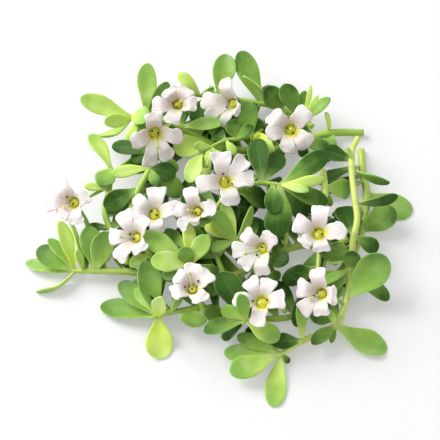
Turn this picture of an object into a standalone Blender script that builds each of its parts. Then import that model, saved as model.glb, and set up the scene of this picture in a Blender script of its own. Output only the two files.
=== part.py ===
"""A bunch of flowering water hyssop (Bacopa monnieri), cut and laid on a table.

Every stem is one solid, with the small leaves, flower stalks and cups that grow on it. The large
leaves and the flowers are solids of their own. Metres, +Z up, z = 0 is the table.
"""

import math
import random
from typing import NamedTuple

import bmesh
import bpy
from mathutils import Matrix, Vector
from mathutils.bvhtree import BVHTree

MM = 0.001

# The picture in which the plant was laid out
PICTURE_SIDE = 440
PIXEL = 0.25 * MM
VIEW_DISTANCE = 420 * MM
VIEW_ELEVATION = math.radians(60)
# The middle of the view, set so that the plant's box has its middle over the origin
AIM = Vector((-0.2 * MM, -2.2 * MM, 10 * MM))
# The heights in the tables are of a loose heap, which has sunk to this share of them
SUNK = 0.8

# Clear space kept between pieces that touch
GAP = 0.3 * MM

# Leaf blade
LEAF_THICKNESS = 0.9 * MM
# How thick it is where it has no width, as a share, and where it is pressed against the table
THIN_END = 0.5
PRESSED_THICKNESS = LEAF_THICKNESS / 2
WIDEST_AT = 0.66
BASE_WIDTH = 0.24
LARGE_LEAF_RINGS = 5
SMALL_LEAF_RINGS = 4
LEAF_SIDES = 4
# A point of a ball with radius 1 that is closer to the upright axis than this is a pole
POLE_RADIUS = 0.01
# How much a leaf turns its face from straight up to the eye; one with a lower tip than this lies flatter
FACING_EYE = 0.45
LYING_BELOW = 5
# How far a leaf may be lifted or lowered, in mm, to lie free of the others
LIFTS = (0, 1, -1, 2, -2, 3, -3, 4, -4, 5, -5, 6, -6, 7, 8, 9)
# The largest leaves are solids of their own
OWN_LEAVES = 32

LOWEST_TIP = 0.3 * MM
# How far past its stem's middle a joined leaf starts, in stem radii
FOOT_DEPTH = 0.3
# The share of a joined leaf at its foot that may touch its own stem
FREE_OF_STEM = 0.3
# How far from its stem's middle a separate leaf may start, in stem radii
BASE_DISTANCES = (1.2, 1.6, 2.2, 3.0)

# The shaded leaves under the heap: first joint, last joint from the tip and spacing, in mm, and the
# directions tried at each joint
UNDERGROWTH_START = 5
UNDERGROWTH_END = 3
UNDERGROWTH_STEP = 10
UNDERGROWTH_TURNS = 6
UNDERGROWTH_RINGS = 3
# The turn of a whorl against the one before it, as a share of a full turn
WHORL_TURN = 0.11
# How far a shaded leaf reaches away from its stem and along it, as shares of its length
UNDERGROWTH_OUTWARD = 0.9
UNDERGROWTH_FORWARD = 0.4
# Least and greatest length, width in mm, roll in degrees and tone
UNDERGROWTH_LENGTH = (9.5 * MM, 13.5 * MM)
UNDERGROWTH_WIDTH = (5.2, 7.2)
UNDERGROWTH_ROLL = (-50, 50)
UNDERGROWTH_TONE = (0.0, 0.5)
UNDERGROWTH_LIFTS = (0, -1.5, 1.5, -3)

# Flower
THROAT_RADIUS = 1.5 * MM
# How far the mouth of the tube lies behind the petals, and the foot of the tube
MOUTH_DEPTH = 0.8 * MM
TUBE_LENGTH = 2.4 * MM
PETAL_THICKNESS = 0.4 * MM
# A petal's stations: share of its length, half its width, and how far it stands forward
PETAL_STATIONS = ((0.62, 2.3 * MM, 0.5 * MM), (1.0, 1.9 * MM, 0.2 * MM))
# Half the angle that a petal takes up at the throat, and the share of the gap to the next that it may fill
PETAL_FOOT = math.radians(28)
PETAL_ROOM = 0.47
CUP_RADIUS = 1.3 * MM
CUP_LENGTH = 2.2 * MM
# The cup's radius where it meets the petals' tube, as a share of its widest
CUP_TOP = 0.7
CUP_GAP = 0.45 * MM
STALK_RADIUS = 0.42 * MM
STALK_SIDES = 4
STALK_STEP = 3 * MM
# How far up the cup its stalk ends, and the straight run under the cup
STALK_TOP = 0.8
STALK_NECK = 1.5 * MM
STALK_ARCH = 0.5 * MM

# Stem
STEM_SIDES = 5
STEM_STEP = 6 * MM
# The radius of a stem one step from its tip and at its tip, as shares
STEM_TAPER = [0.8, 0.45]
LINE_STEP = 1 * MM
# Points of a stem's line, at its foot and its tip, from which no stalk grows
FREE_FOOT = 1
FREE_TIP = 2

# Colours
DARK_LEAF = Vector((0.035, 0.10, 0.012))
MIDDLE_LEAF = Vector((0.16, 0.36, 0.06))
YOUNG_LEAF = Vector((0.45, 0.68, 0.10))
STEM_GREEN = Vector((0.40, 0.58, 0.08))
PETAL_WHITE = Vector((0.85, 0.83, 0.83))
LEAF_ROUGHNESS = 0.45
PETAL_ROUGHNESS = 0.6
SHARP_ANGLE = math.radians(30)


class Leaf(NamedTuple):
    """A leaf by its tip: picture column and row, height in mm, blade width in mm, roll in degrees.

    bend arches the blade, as a share of its length. tone goes from 0, dark, to 2, young and pale.
    """

    x: float
    y: float
    height: float
    width: float
    roll: float = 0.0
    tone: float = 1.0
    bend: float = 0.06


class Flower(NamedTuple):
    """A flower by its throat and its five petal tips, as picture columns and rows."""

    name: str
    throat: tuple
    tips: tuple
    tilt: tuple
    stem: str
    stalk_from: tuple


# Stems: picture column, row and height in mm along each, from its cut or lower end to its tip
STEMS = {
    "right_runner": (
        0.8,
        [(358, 138, 8), (352, 152, 9.5), (352, 175, 11), (355, 200, 12), (357, 220, 11.5), (353, 240, 10),
         (351, 262, 8), (348, 290, 5.5), (336, 325, 3.5), (302, 341, 3), (281, 354, 3), (268, 360, 3.5)],
    ),
    "left_runner": (
        0.9,
        [(348, 238, 7.5), (333, 246, 6), (299, 246, 4), (270, 257, 3), (238, 274, 2.5), (200, 283, 3),
         (165, 278, 3.5), (130, 272, 4), (95, 271, 4), (66, 271, 3.5)],
    ),
    "back_runner": (
        1.0,
        [(363, 133, 1.5), (332, 133, 3), (300, 141, 3), (268, 151, 3.5), (238, 150, 4.5), (211, 145, 6),
         (182, 127, 8.5), (150, 117, 9), (124, 118, 8)],
    ),
    "top_branch": (
        0.7,
        [(313, 127, 4), (296, 115, 4), (268, 105, 4.5), (240, 100, 5), (215, 97, 6), (192, 95, 7.5)],
    ),
    "young_shoot": (
        0.5,
        [(262, 130, 7), (254, 135, 9.5), (240, 139, 11.5), (226, 140, 12.5), (211, 147, 13), (196, 157, 13)],
    ),
    "centre_shoot": (
        0.7,
        [(236, 307, 5), (226, 280, 5.5), (216, 253, 5.8), (212, 228, 7.5), (220, 203, 11), (240, 188, 14),
         (262, 183, 16), (288, 186, 17)],
    ),
    "inner_shoot": (0.6, [(286, 312, 4), (272, 296, 5), (258, 275, 7), (243, 252, 10), (231, 234, 13)]),
    "middle_shoot": (
        0.7,
        [(205, 314, 6), (202, 305, 7.5), (196, 293, 9.5), (190, 274, 12.5), (190, 257, 15)],
    ),
    "lower_branch": (
        0.8,
        [(318, 312, 1.2), (285, 318, 1.2), (245, 318, 2), (208, 308, 4), (178, 311, 5.5), (150, 318, 6)],
    ),
    "front_shoot": (0.6, [(284, 296, 8.5), (272, 304, 9), (258, 312, 9.5), (246, 320, 10.5), (242, 324, 11)]),
    "upper_left_branch": (
        0.8,
        [(127, 264, 7.5), (126, 255, 8), (114, 235, 9), (105, 213, 10), (109, 190, 11), (112, 172, 11),
         (108, 163, 11)],
    ),
    "inner_left_branch": (
        0.8,
        [(158, 270, 7), (150, 255, 8), (137, 232, 10), (131, 208, 11), (139, 189, 12), (150, 168, 13),
         (158, 150, 13), (172, 134, 13)],
    ),
    "short_cut_stem": (
        0.8,
        [(323, 170, 13), (325, 192, 12.5), (322, 222, 11), (320, 246, 8), (318, 268, 6), (315, 284, 5)],
    ),
    "far_right_stem": (
        1.0,
        [(361, 150, 1), (363, 172, 1), (367, 195, 1), (364, 218, 1), (358, 243, 1), (345, 265, 1),
         (325, 285, 1)],
    ),
}

# Leaves by stem and by the joint of the stem (picture column and row) that they grow from
LEAVES = {
    "left_runner": {
        (67, 270): [
            Leaf(26, 262, 0.5, 5.0, 15, 1.5, -0.05),
            Leaf(37, 249, 6, 5.6, 0, 0.7),
            Leaf(59, 221, 12, 4.0, 20, 2.1),
            Leaf(48, 239, 8, 3.6, 30, 1.3),
            Leaf(36, 292, 0.6, 4.5, 75, 1.6, -0.13),
        ],
        (82, 270): [Leaf(76, 250, 8, 3, 40, 2.0), Leaf(70, 221, 13, 1.8, 40, 1.6)],
        (93, 269): [
            Leaf(89, 226, 13, 5.8, 0, 1.1),
            Leaf(106, 231, 9, 6.0, 10, 1.3),
            Leaf(112, 243, 7, 3.2, 60, 1.9),
            Leaf(81, 210, 13, 3.0, 65, 1.5),
        ],
        (270, 257): [Leaf(288, 262, 6, 5.0, 0, 0.5)],
        (285, 250): [Leaf(283, 221, 12, 3.0, 65, 2.2)],
    },
    "upper_left_branch": {
        (108, 163): [
            Leaf(90, 134, 15, 4.2, 20, 1.9),
            Leaf(102, 186, 14, 5.6, 0, 0.7),
        ],
        (109, 190): [Leaf(84, 186, 13, 2.4, 0, 2.0)],
    },
    "inner_left_branch": {
        (150, 255): [Leaf(130, 266, 9, 3.5, 0, 1.6)],
        (139, 189): [Leaf(104, 207, 11, 5.2, 0, 0.1)],
        (150, 168): [
            Leaf(111, 174, 11, 3.4, 0, 1.9),
            Leaf(158, 187, 13, 3.0, 20, 0.6),
            Leaf(176, 174, 10, 5.0, 0, -0.1),
            Leaf(182, 196, 10, 5.4, 0, 0.7),
        ],
        (158, 152): [
            Leaf(131, 160, 10, 3.8, 0, 0.6),
            Leaf(112, 146, 9, 4.0, 0, 0.4),
            Leaf(178, 171, 11, 3.2, 20, 1.3),
        ],
    },
    "back_runner": {
        (124, 118): [
            Leaf(80, 98, 15, 5.2, 0, 1.9),
            Leaf(104, 122, 12, 3.8, -20, 2.1),
            Leaf(97, 136, 9, 4.0, 40, 1.9, -0.15),
        ],
        (131, 118): [Leaf(150, 116, 15, 5.2, 0, 1.8)],
        (146, 116): [
            Leaf(148, 63, 20, 5.3, 0, 1.2),
            Leaf(168, 82, 15, 4.4, 20, 0.8),
            Leaf(139, 136, 10, 3.0, 0, 0.8),
        ],
        (182, 127): [Leaf(222, 124, 14, 3.8, 0, 0.5)],
        (209, 146): [Leaf(173, 149, 9, 6.0, 0, 1.6), Leaf(206, 180, 8, 3.5, 30, 1.9)],
        (300, 141): [Leaf(330, 149, 4, 4.0, 0, 0.5)],
        (327, 133): [Leaf(326, 112, 9, 2.0, 60, 2.2)],
    },
    "young_shoot": {
        (198, 156): [
            Leaf(189, 183, 14, 4.7, 10, 1.8),
            Leaf(207, 168, 14, 2.4, 30, 2.5),
            Leaf(199, 149, 14, 3.0, 20, 2.7),
        ],
        (211, 147): [Leaf(194, 146, 14, 2.6, 0, 1.4), Leaf(221, 160, 12, 2.4, 20, 1.3)],
        (226, 140): [Leaf(214, 134, 11, 4.0, 0, -0.3), Leaf(236, 155, 12, 2.6, 30, 1.3)],
        (236, 139): [Leaf(231, 119, 15, 4.4, 0, 0.1), Leaf(253, 126, 15, 3.2, 0, 0.5)],
        (250, 136): [Leaf(245, 101, 17, 5.6, 0, 0.35)],
        (255, 134): [Leaf(274, 158, 14, 4.6, 20, 2.0, 0.25)],
    },
    "top_branch": {
        (192, 95): [
            Leaf(178, 74, 13, 3.8, 10, 2.3, 0.12),
            Leaf(214, 87, 10, 1.6, 30, 0.7),
        ],
        (219, 98): [Leaf(227, 54, 14, 6.2, 0, 1.25)],
        (262, 103): [Leaf(240, 51, 14, 6.0, 0, 0.9)],
        (276, 110): [Leaf(243, 76, 17, 1.7, 80, 2.2)],
        (282, 112): [Leaf(264, 89, 9, 6.2, 0, 0.6)],
        (296, 116): [
            Leaf(284, 84, 13, 5.5, 0, 0.5),
            Leaf(306, 91, 9, 3.0, 0, 0.9),
        ],
        (305, 122): [
            Leaf(330, 98, 14, 3.4, 0, 1.1),
            Leaf(311, 85, 11, 1.5, 0, 2.0),
            Leaf(318, 95, 10, 1.6, 0, 2.0),
        ],
    },
    "centre_shoot": {
        (287, 186): [
            Leaf(325, 179, 19, 3.0, 10, 1.9),
            Leaf(309, 191, 17, 2.5, 0, 1.7),
            Leaf(328, 203, 13, 4.4, 20, 0.5),
            Leaf(328, 153, 17, 5.4, 0, 0.4),
            Leaf(277, 238, 9, 7.0, 0, 0.1),
            Leaf(306, 217, 8, 6.0, 0, 0.3),
        ],
        (274, 184): [Leaf(273, 214, 15, 4.6, 0, 0.6)],
        (262, 182): [
            Leaf(257, 139, 16, 5.6, 0, -0.2),
            Leaf(281, 153, 12, 5.0, 10, 0.1),
        ],
    },
    "inner_shoot": {
        (231, 234): [
            Leaf(223, 203, 16, 3.5, 0, 1.7),
            Leaf(252, 206, 16, 3.2, 50, 1.45),
            Leaf(212, 212, 12, 4.5, 10, 0.4),
            Leaf(211, 250, 10, 3.2, 0, 1.1),
        ],
        (240, 250): [Leaf(254, 219, 12, 4.2, 0, 0.4)],
    },
    "middle_shoot": {
        (190, 257): [
            Leaf(141, 233, 17, 5.6, 0, 1.4),
            Leaf(207, 235, 18, 4.5, 0, 1.45),
            Leaf(187, 222, 17, 3.8, 15, 2.3),
            Leaf(176, 247, 14, 3.0, 0, 1.2),
            Leaf(162, 277, 14, 4.2, 0, 1.3),
            Leaf(219, 271, 11, 2.6, 30, 0.9),
            Leaf(164, 230, 12, 5.2, 0, 0.0),
        ],
    },
    "lower_branch": {
        (150, 318): [
            Leaf(101, 305, 0.5, 6.0, 0, 0.9, -0.03),
            Leaf(119, 283, 7, 5.0, 0, 1.0),
            Leaf(136, 288, 10, 3.4, 0, 1.4),
            Leaf(149, 296, 15, 2.4, 60, -0.3),
            Leaf(144, 261, 16, 6.3, 0, 1.1),
            Leaf(161, 297, 14, 4.0, 0, 2.05),
            Leaf(160, 359, 0.4, 7.2, 0, 2.0, -0.06),
        ],
        (170, 313): [
            Leaf(175, 279, 12, 3.0, 65, 1.2),
            Leaf(181, 293, 10, 2.4, 50, 1.1),
        ],
        (193, 309): [Leaf(192, 327, 5, 6.8, 0, 1.2)],
        (225, 312): [Leaf(204, 316, 4, 5.0, 0, 1.0)],
    },
    "front_shoot": {
        (244, 321): [
            Leaf(204, 332, 8, 4.8, 12, 0.9),
            Leaf(222, 318, 11, 2.6, 20, 2.2),
            Leaf(221, 308, 13, 3.6, 0, 1.35),
            Leaf(240, 294, 20, 3.6, 10, 0.9),
            Leaf(279, 340, 8, 5.0, 10, 1.4),
            Leaf(220, 273, 11, 7.0, 0, -0.1),
        ],
    },
    "short_cut_stem": {
        (325, 188): [
            Leaf(331, 206, 9, 2.2, 30, 1.5),
            Leaf(350, 190, 8, 5.5, 0, 0.1),
        ],
        (292, 304): [
            Leaf(290, 272, 9, 4.4, 0, 1.7),
            Leaf(296, 327, 3, 5.0, 0, -0.3),
        ],
    },
    "right_runner": {
        (352, 160): [
            Leaf(346, 148, 11, 2.0, 40, 1.6),
            Leaf(324, 150, 10, 4.5, 0, -0.3),
            Leaf(331, 145, 8, 2.5, 60, 2.1),
        ],
        (353, 170): [Leaf(390, 183, 10, 3.0, 70, 0.5)],
        (356, 203): [Leaf(398, 196, 11, 3.5, 60, 0.0)],
        (354, 238): [
            Leaf(378, 250, 6, 4.2, 0, 0.2),
            Leaf(342, 207, 7, 6.0, 0, -0.3),
        ],
        (350, 270): [
            Leaf(353, 251, 11, 4.5, 0, 0.3),
            Leaf(323, 284, 10, 2.8, 20, 0.9),
            Leaf(389, 300, 3, 4.2, 0, 0.1),
        ],
        (348, 298): [Leaf(387, 257, 13, 8.4, 0, 1.0)],
        (336, 326): [
            Leaf(386, 352, 0.4, 7.0, 0, 1.2, -0.05),
            Leaf(312, 344, 1.5, 3.6, 0, 0.4),
            Leaf(331, 343, 2, 1.6, 0, 0.7),
            Leaf(328, 311, 8, 2.4, 30, 1.5),
        ],
        (303, 341): [
            Leaf(299, 305, 11, 3.0, 20, 1.5),
            Leaf(271, 342, 2, 4.2, 0, 0.2),
        ],
        (281, 354): [
            Leaf(237, 336, 6, 4.2, 15, 1.0),
            Leaf(273, 407, 0.4, 5.4, 0, 1.5, -0.06),
            Leaf(289, 363, 1, 1.8, 0, 0.4),
        ],
        (268, 360): [
            Leaf(224, 352, 3.5, 4.6, 0, 1.5),
            Leaf(230, 373, 3.5, 6.0, 0, 1.4),
        ],
    },
    "far_right_stem": {
        (367, 195): [Leaf(412, 213, 0.4, 7.6, 0, 1.0, -0.05)],
        (361, 232): [Leaf(396, 211, 6, 7.2, 0, 0.6)],
    },
}

# The heap's outline in the picture, inside which the shaded leaves stay
HEAP_OUTLINE = [
    (60, 262), (70, 235), (100, 215), (105, 165), (130, 120), (175, 88), (215, 85), (262, 80), (300, 95),
    (325, 110), (345, 140), (355, 165), (385, 195), (385, 225), (370, 240), (365, 290), (345, 310),
    (318, 330), (285, 345), (235, 355), (205, 325), (165, 325), (120, 310), (125, 280), (95, 272),
]

# Places in the heap where the table shows: column, row and radius in the picture
OPEN_PLACES = [
    (181, 168, 7), (341, 201, 9), (292, 257, 7), (277, 317, 7), (291, 331, 6), (319, 328, 9), (289, 166, 9),
    (128, 178, 12),
]

# Flowers: throat (column, row, height in mm), petal tips, tilt to the right and up in degrees
FLOWERS = [
    Flower(
        "flower_01", (177, 104, 19), ((152, 106), (167, 89), (188, 88), (197, 104), (171, 124)), (-6, 6),
        "back_runner", (182, 127),
    ),
    Flower(
        "flower_02", (155, 134, 22), ((153, 112), (183, 137), (170, 160), (149, 167), (131, 143)), (5, -14),
        "inner_left_branch", (158, 152),
    ),
    Flower(
        "flower_03", (230, 104, 17), ((225, 78), (201, 101), (206, 118), (222, 127), (240, 112)), (-30, -6),
        "top_branch", (240, 100),
    ),
    Flower(
        "flower_04", (290, 130, 18), ((270, 114), (308, 109), (310, 146), (287, 153), (266, 134)), (-6, -4),
        "back_runner", (285, 146),
    ),
    Flower(
        "flower_05", (226, 181, 22), ((220, 152), (245, 159), (254, 178), (232, 206), (196, 185)), (12, 18),
        "centre_shoot", (235, 190),
    ),
    Flower(
        "flower_06", (154, 213, 18), ((157, 187), (181, 207), (158, 234), (131, 213), (134, 197)), (-6, 18),
        "inner_left_branch", (137, 195),
    ),
    Flower(
        "flower_07", (195, 211, 21.5), ((190, 187), (217, 207), (192, 225), (180, 229), (176, 210)), (-20, 4),
        "centre_shoot", (218, 212),
    ),
    Flower(
        "flower_08", (134, 237, 19), ((123, 211), (145, 216), (142, 252), (117, 260), (109, 237)), (-26, 6),
        "inner_left_branch", (140, 238),
    ),
    Flower(
        "flower_09", (72, 203, 17), ((57, 182), (88, 194), (77, 224), (60, 217), (44, 203)), (-22, -4),
        "upper_left_branch", (110, 187),
    ),
    Flower(
        "flower_10", (260, 249, 20), ((243, 232), (274, 234), (262, 276), (242, 267), (232, 250)), (-26, -6),
        "inner_shoot", (236, 242),
    ),
    Flower(
        "flower_11", (318, 233, 20), ((321, 206), (347, 230), (322, 252), (301, 244), (294, 222)), (-4, 10),
        "short_cut_stem", (322, 222),
    ),
    Flower(
        "flower_12", (192, 287, 18), ((193, 263), (211, 273), (203, 302), (171, 293), (176, 273)), (-4, 22),
        "middle_shoot", (200, 276),
    ),
    Flower(
        "flower_13", (261, 301, 16), ((249, 279), (270, 279), (285, 299), (257, 327), (233, 298)), (-8, 16),
        "front_shoot", (262, 310),
    ),
    Flower(
        "flower_14", (320, 294, 16), ((317, 268), (337, 296), (321, 316), (301, 312), (297, 287)), (-16, -4),
        "right_runner", (345, 305),
    ),
]


def picture_ray(column, row):
    """The eye, and the direction from it through a place in the picture."""
    forward = Vector((0, math.cos(VIEW_ELEVATION), -math.sin(VIEW_ELEVATION)))
    upward = Vector((0, math.sin(VIEW_ELEVATION), math.cos(VIEW_ELEVATION)))
    middle = PICTURE_SIDE / 2
    across = Vector((1, 0, 0)) * (column - middle) * PIXEL
    return AIM - forward * VIEW_DISTANCE, forward * VIEW_DISTANCE + across + upward * (middle - row) * PIXEL


def place(column, row, height):
    """The point at a height in mm that shows at a place in the picture."""
    eye, ray = picture_ray(column, row)
    return eye + ray * ((height * SUNK * MM - eye.z) / ray.z)


def place_on(column, row, point, normal):
    """The point of a plane that shows at a place in the picture."""
    eye, ray = picture_ray(column, row)
    return eye + ray * ((point - eye).dot(normal) / ray.dot(normal))


def picture_place(point):
    """The column and row at which a point shows."""
    eye, ray = picture_ray(PICTURE_SIDE / 2, PICTURE_SIDE / 2)
    forward = ray.normalized()
    upward = Vector((1, 0, 0)).cross(forward)
    out = point - eye
    scale = VIEW_DISTANCE / out.dot(forward) / PIXEL
    return PICTURE_SIDE / 2 + out.x * scale, PICTURE_SIDE / 2 - out.dot(upward) * scale


def through(points, step):
    """Points about a step apart on a smooth curve through the given ones."""
    padded = [points[0] * 2 - points[1], *points, points[-1] * 2 - points[-2]]
    curve = []
    for before, start, end, after in zip(padded, padded[1:], padded[2:], padded[3:]):
        count = max(1, round((end - start).length / step))
        for index in range(count):
            t = index / count
            curve.append(
                start
                + (end - before) * t / 2
                + (before * 2 - start * 5 + end * 4 - after) * t**2 / 2
                + (start * 3 - before - end * 3 + after) * t**3 / 2
            )
    curve.append(points[-1])
    return curve


def evenly(points, step):
    """Points about a step apart along the straight runs between the given ones."""
    line = []
    for start, end in zip(points, points[1:]):
        count = max(1, round((end - start).length / step))
        line += [start.lerp(end, index / count) for index in range(count)]
    return [*line, points[-1]]


def tube(points, radii, sides):
    """A closed tube along the points."""
    bm = bmesh.new()
    heading = (points[1] - points[0]).normalized()
    turn = heading.to_track_quat("Z", "Y")
    ring = Matrix.Translation(points[0]) @ turn.to_matrix().to_4x4() @ Matrix.Scale(radii[0], 4)
    bmesh.ops.create_circle(bm, cap_ends=True, segments=sides, radius=1, matrix=ring)
    cap = bm.faces[:]
    for index in range(1, len(points)):
        ahead = points[min(index + 1, len(points) - 1)] - points[index - 1]
        turn = heading.rotation_difference(ahead.normalized()) @ turn
        heading = ahead.normalized()
        extruded = bmesh.ops.extrude_face_region(bm, geom=cap)["geom"]
        if index > 1:
            bmesh.ops.delete(bm, geom=cap, context="FACES_ONLY")
        cap = [part for part in extruded if isinstance(part, bmesh.types.BMFace)]
        following = Matrix.Translation(points[index]) @ turn.to_matrix().to_4x4()
        following = following @ Matrix.Scale(radii[index], 4)
        bmesh.ops.transform(bm, matrix=following @ ring.inverted(), verts=cap[0].verts)
        ring = following
    bmesh.ops.recalc_face_normals(bm, faces=bm.faces)
    return bm


def blade_width(along):
    """Half the width of a spoon-shaped blade, from 0 at its base to 1 at its tip, as a share."""
    if along < WIDEST_AT:
        rise = along / WIDEST_AT
        return BASE_WIDTH + (1 - BASE_WIDTH) * rise * rise * (3 - 2 * rise)
    return math.sqrt(max(0.0, 1 - ((along - WIDEST_AT) / (1 - WIDEST_AT)) ** 2))


def blade(base, leaf, lift=0.0, rings=SMALL_LEAF_RINGS, spare=0.0, start=0.0):
    """A leaf from its base to its tip. spare swells it all round, and start leaves out its foot."""
    height = leaf.height + lift
    tip = place(leaf.x, leaf.y, height)
    length = (tip - base).length + spare
    along = (tip - base).normalized()
    toward = -picture_ray(leaf.x, leaf.y)[1].normalized()
    turned = FACING_EYE * min(1.0, max(0.0, height / LYING_BELOW))
    face = toward * turned + Vector((0, 0, 1)) * (1 - turned)
    face = (face - along * face.dot(along)).normalized()
    face = Matrix.Rotation(math.radians(leaf.roll), 3, along) @ face
    across = face.cross(along)
    half_width = leaf.width * MM / 2 + spare
    half_thickness = LEAF_THICKNESS / 2 + spare
    bm = bmesh.new()
    bmesh.ops.create_uvsphere(bm, u_segments=LEAF_SIDES, v_segments=rings, radius=1)
    for vert in bm.verts:
        share = start + (1 - start) * (vert.co.z + 1) / 2
        round_section = Vector((vert.co.x, vert.co.y, 0))
        if round_section.length > POLE_RADIUS:
            round_section.normalize()
        else:
            round_section = Vector((0, 0, 0))
        width = blade_width(share)
        arch = leaf.bend * length * 4 * share * (1 - share)
        vert.co = (
            base
            + along * length * share
            + across * round_section.x * width * half_width
            + face * (arch + round_section.y * half_thickness * (THIN_END + (1 - THIN_END) * width))
        )
        vert.co.z = max(vert.co.z, (1 + round_section.y) / 2 * PRESSED_THICKNESS)
    return bm


def flower_axis(flower):
    """The way a flower faces: at the picture's eye, turned to the right and up by its tilt."""
    column, row, _ = flower.throat
    toward = -picture_ray(column, row)[1].normalized()
    upward = toward.cross(Vector((1, 0, 0))).normalized()
    right, up = (math.radians(angle) for angle in flower.tilt)
    return Matrix.Rotation(right, 3, upward) @ (Matrix.Rotation(-up, 3, Vector((1, 0, 0))) @ toward)


class Petal(NamedTuple):
    """A petal by its angle round the axis, the way to its tip, and the gaps before and after it."""

    angle: float
    reach: Vector
    gaps: tuple


def petals_in_turn(flower):
    """The petals of a flower in order round its axis, from the places of their tips."""
    throat = place(*flower.throat)
    axis = flower_axis(flower)
    start = axis.orthogonal().normalized()
    petals = []
    for column, row in flower.tips:
        reach = place_on(column, row, throat, axis) - throat
        petals.append((math.atan2(axis.dot(start.cross(reach)), start.dot(reach)), reach))
    petals.sort(key=lambda petal: petal[0])
    angles = [angle for angle, _ in petals]
    after = [(following - angle) % (2 * math.pi) for angle, following in zip(angles, angles[1:] + angles[:1])]
    return [
        Petal(angle, reach, (before, behind))
        for (angle, reach), before, behind in zip(petals, after[-1:] + after[:-1], after)
    ]


def corolla(flower):
    """Five petals grown together into a funnel."""
    throat = place(*flower.throat)
    axis = flower_axis(flower)
    start = axis.orthogonal().normalized()
    petals = petals_in_turn(flower)
    bm = bmesh.new()
    feet = []
    for petal in petals:
        for hand, gap in zip((-1, 1), petal.gaps):
            angle = petal.angle + hand * min(PETAL_FOOT, gap * PETAL_ROOM)
            foot = Matrix.Rotation(angle, 3, axis) @ start * THROAT_RADIUS
            feet.append(bm.verts.new(throat - axis * MOUTH_DEPTH + foot))
    bottom = bm.verts.new(throat - axis * TUBE_LENGTH)
    for foot, following in zip(feet, feet[1:] + feet[:1]):
        bm.faces.new((bottom, foot, following))
    for petal, left, right in zip(petals, feet[0::2], feet[1::2]):
        side = axis.cross(petal.reach.normalized())
        edge = bm.edges.get((left, right))
        for share, half_width, forward in PETAL_STATIONS:
            extruded = bmesh.ops.extrude_edge_only(bm, edges=[edge])["geom"]
            edge = next(part for part in extruded if isinstance(part, bmesh.types.BMEdge))
            middle = throat + petal.reach * share + axis * forward
            ends = sorted(edge.verts, key=lambda vert: (vert.co - throat).dot(side))
            for hand, gap, vert in zip((-1, 1), petal.gaps, ends):
                room = petal.reach.length * share * math.tan(gap * PETAL_ROOM)
                vert.co = middle + side * hand * min(half_width, room)
    front = bmesh.ops.extrude_face_region(bm, geom=bm.faces[:], use_keep_orig=True)["geom"]
    front = [part for part in front if isinstance(part, bmesh.types.BMVert)]
    back = [vert for vert in bm.verts if vert not in front]
    bmesh.ops.translate(bm, vec=axis * PETAL_THICKNESS / 2, verts=front)
    bmesh.ops.translate(bm, vec=-axis * PETAL_THICKNESS / 2, verts=back)
    bmesh.ops.recalc_face_normals(bm, faces=bm.faces)
    bmesh.ops.triangulate(bm, faces=bm.faces)
    return bm


def cup(flower):
    """The green cup under a flower and the top of the stalk that carries it."""
    throat = place(*flower.throat)
    axis = flower_axis(flower)
    bottom = throat - axis * (TUBE_LENGTH + CUP_GAP)
    route = [bottom, bottom - axis * CUP_LENGTH / 2, bottom - axis * CUP_LENGTH]
    return tube(route, [CUP_RADIUS * CUP_TOP, CUP_RADIUS, STALK_RADIUS], STALK_SIDES)


def nearest(line, column, row):
    """The point of a stem's line that shows closest to a place in the picture."""

    def apart(point):
        x, y = picture_place(point)
        return (x - column) ** 2 + (y - row) ** 2

    return min(line[FREE_FOOT:-FREE_TIP], key=apart)


def stalk(flower, line):
    """The thin stalk from a stem to the cup of a flower."""
    throat = place(*flower.throat)
    axis = flower_axis(flower)
    foot = nearest(line, *flower.stalk_from)
    top = throat - axis * (TUBE_LENGTH + CUP_GAP + CUP_LENGTH * STALK_TOP)
    knee = top - axis * STALK_NECK
    route = through([foot, foot.lerp(knee, 0.5) + axis * STALK_ARCH, knee, top], STALK_STEP)
    return tube(route, [STALK_RADIUS] * len(route), STALK_SIDES)


class Growing(NamedTuple):
    """A leaf with the stem that it grows on, its foot on the stem, and its size for ranking."""

    leaf: Leaf
    stem: str
    foot: Vector
    size: float


class Clump:
    """What stands so far, for finding a free place for the next leaf."""

    def __init__(self):
        self.trees = []
        self.points = []
        self.faces = []

    def add(self, owner, bm):
        """Takes in a piece, under the name of the solid that it belongs to."""
        self.trees.append((owner, BVHTree.FromBMesh(bm)))
        bm.verts.index_update()
        first = len(self.points)
        self.points += [vert.co.copy() for vert in bm.verts]
        self.faces += [[first + vert.index for vert in face.verts] for face in bm.faces]

    def meets(self, bm, but=None, only=None):
        """Whether a piece cuts into anything, apart from one owner's or in only one owner's."""
        tree = BVHTree.FromBMesh(bm)
        return any(
            tree.overlap(standing)
            for owner, standing in self.trees
            if owner != but and only in (None, owner)
        )

    def all(self):
        """Everything that stands, as one tree."""
        return BVHTree.FromPolygons(self.points, self.faces)


def settle(clump, growing, own, lifts):
    """The base, leaf and lift with which a leaf lies free of what stands, or None."""
    leaf, stem, foot, _ = growing
    radius = STEMS[stem][0] * MM
    for lift in lifts:
        tip = place(leaf.x, leaf.y, leaf.height + lift)
        if tip.z < LOWEST_TIP:
            continue
        heading = (tip - foot).normalized()
        if own:
            for distance in BASE_DISTANCES:
                base = foot + heading * (radius * distance + GAP)
                if not clump.meets(blade(base, leaf, lift, spare=GAP)):
                    return base, leaf, lift
            continue
        base = foot - heading * radius * FOOT_DEPTH
        if clump.meets(blade(base, leaf, lift, spare=GAP), but=stem):
            continue
        if not clump.meets(blade(base, leaf, lift, spare=GAP / 2, start=FREE_OF_STEM), only=stem):
            return base, leaf, lift
    return None


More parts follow.
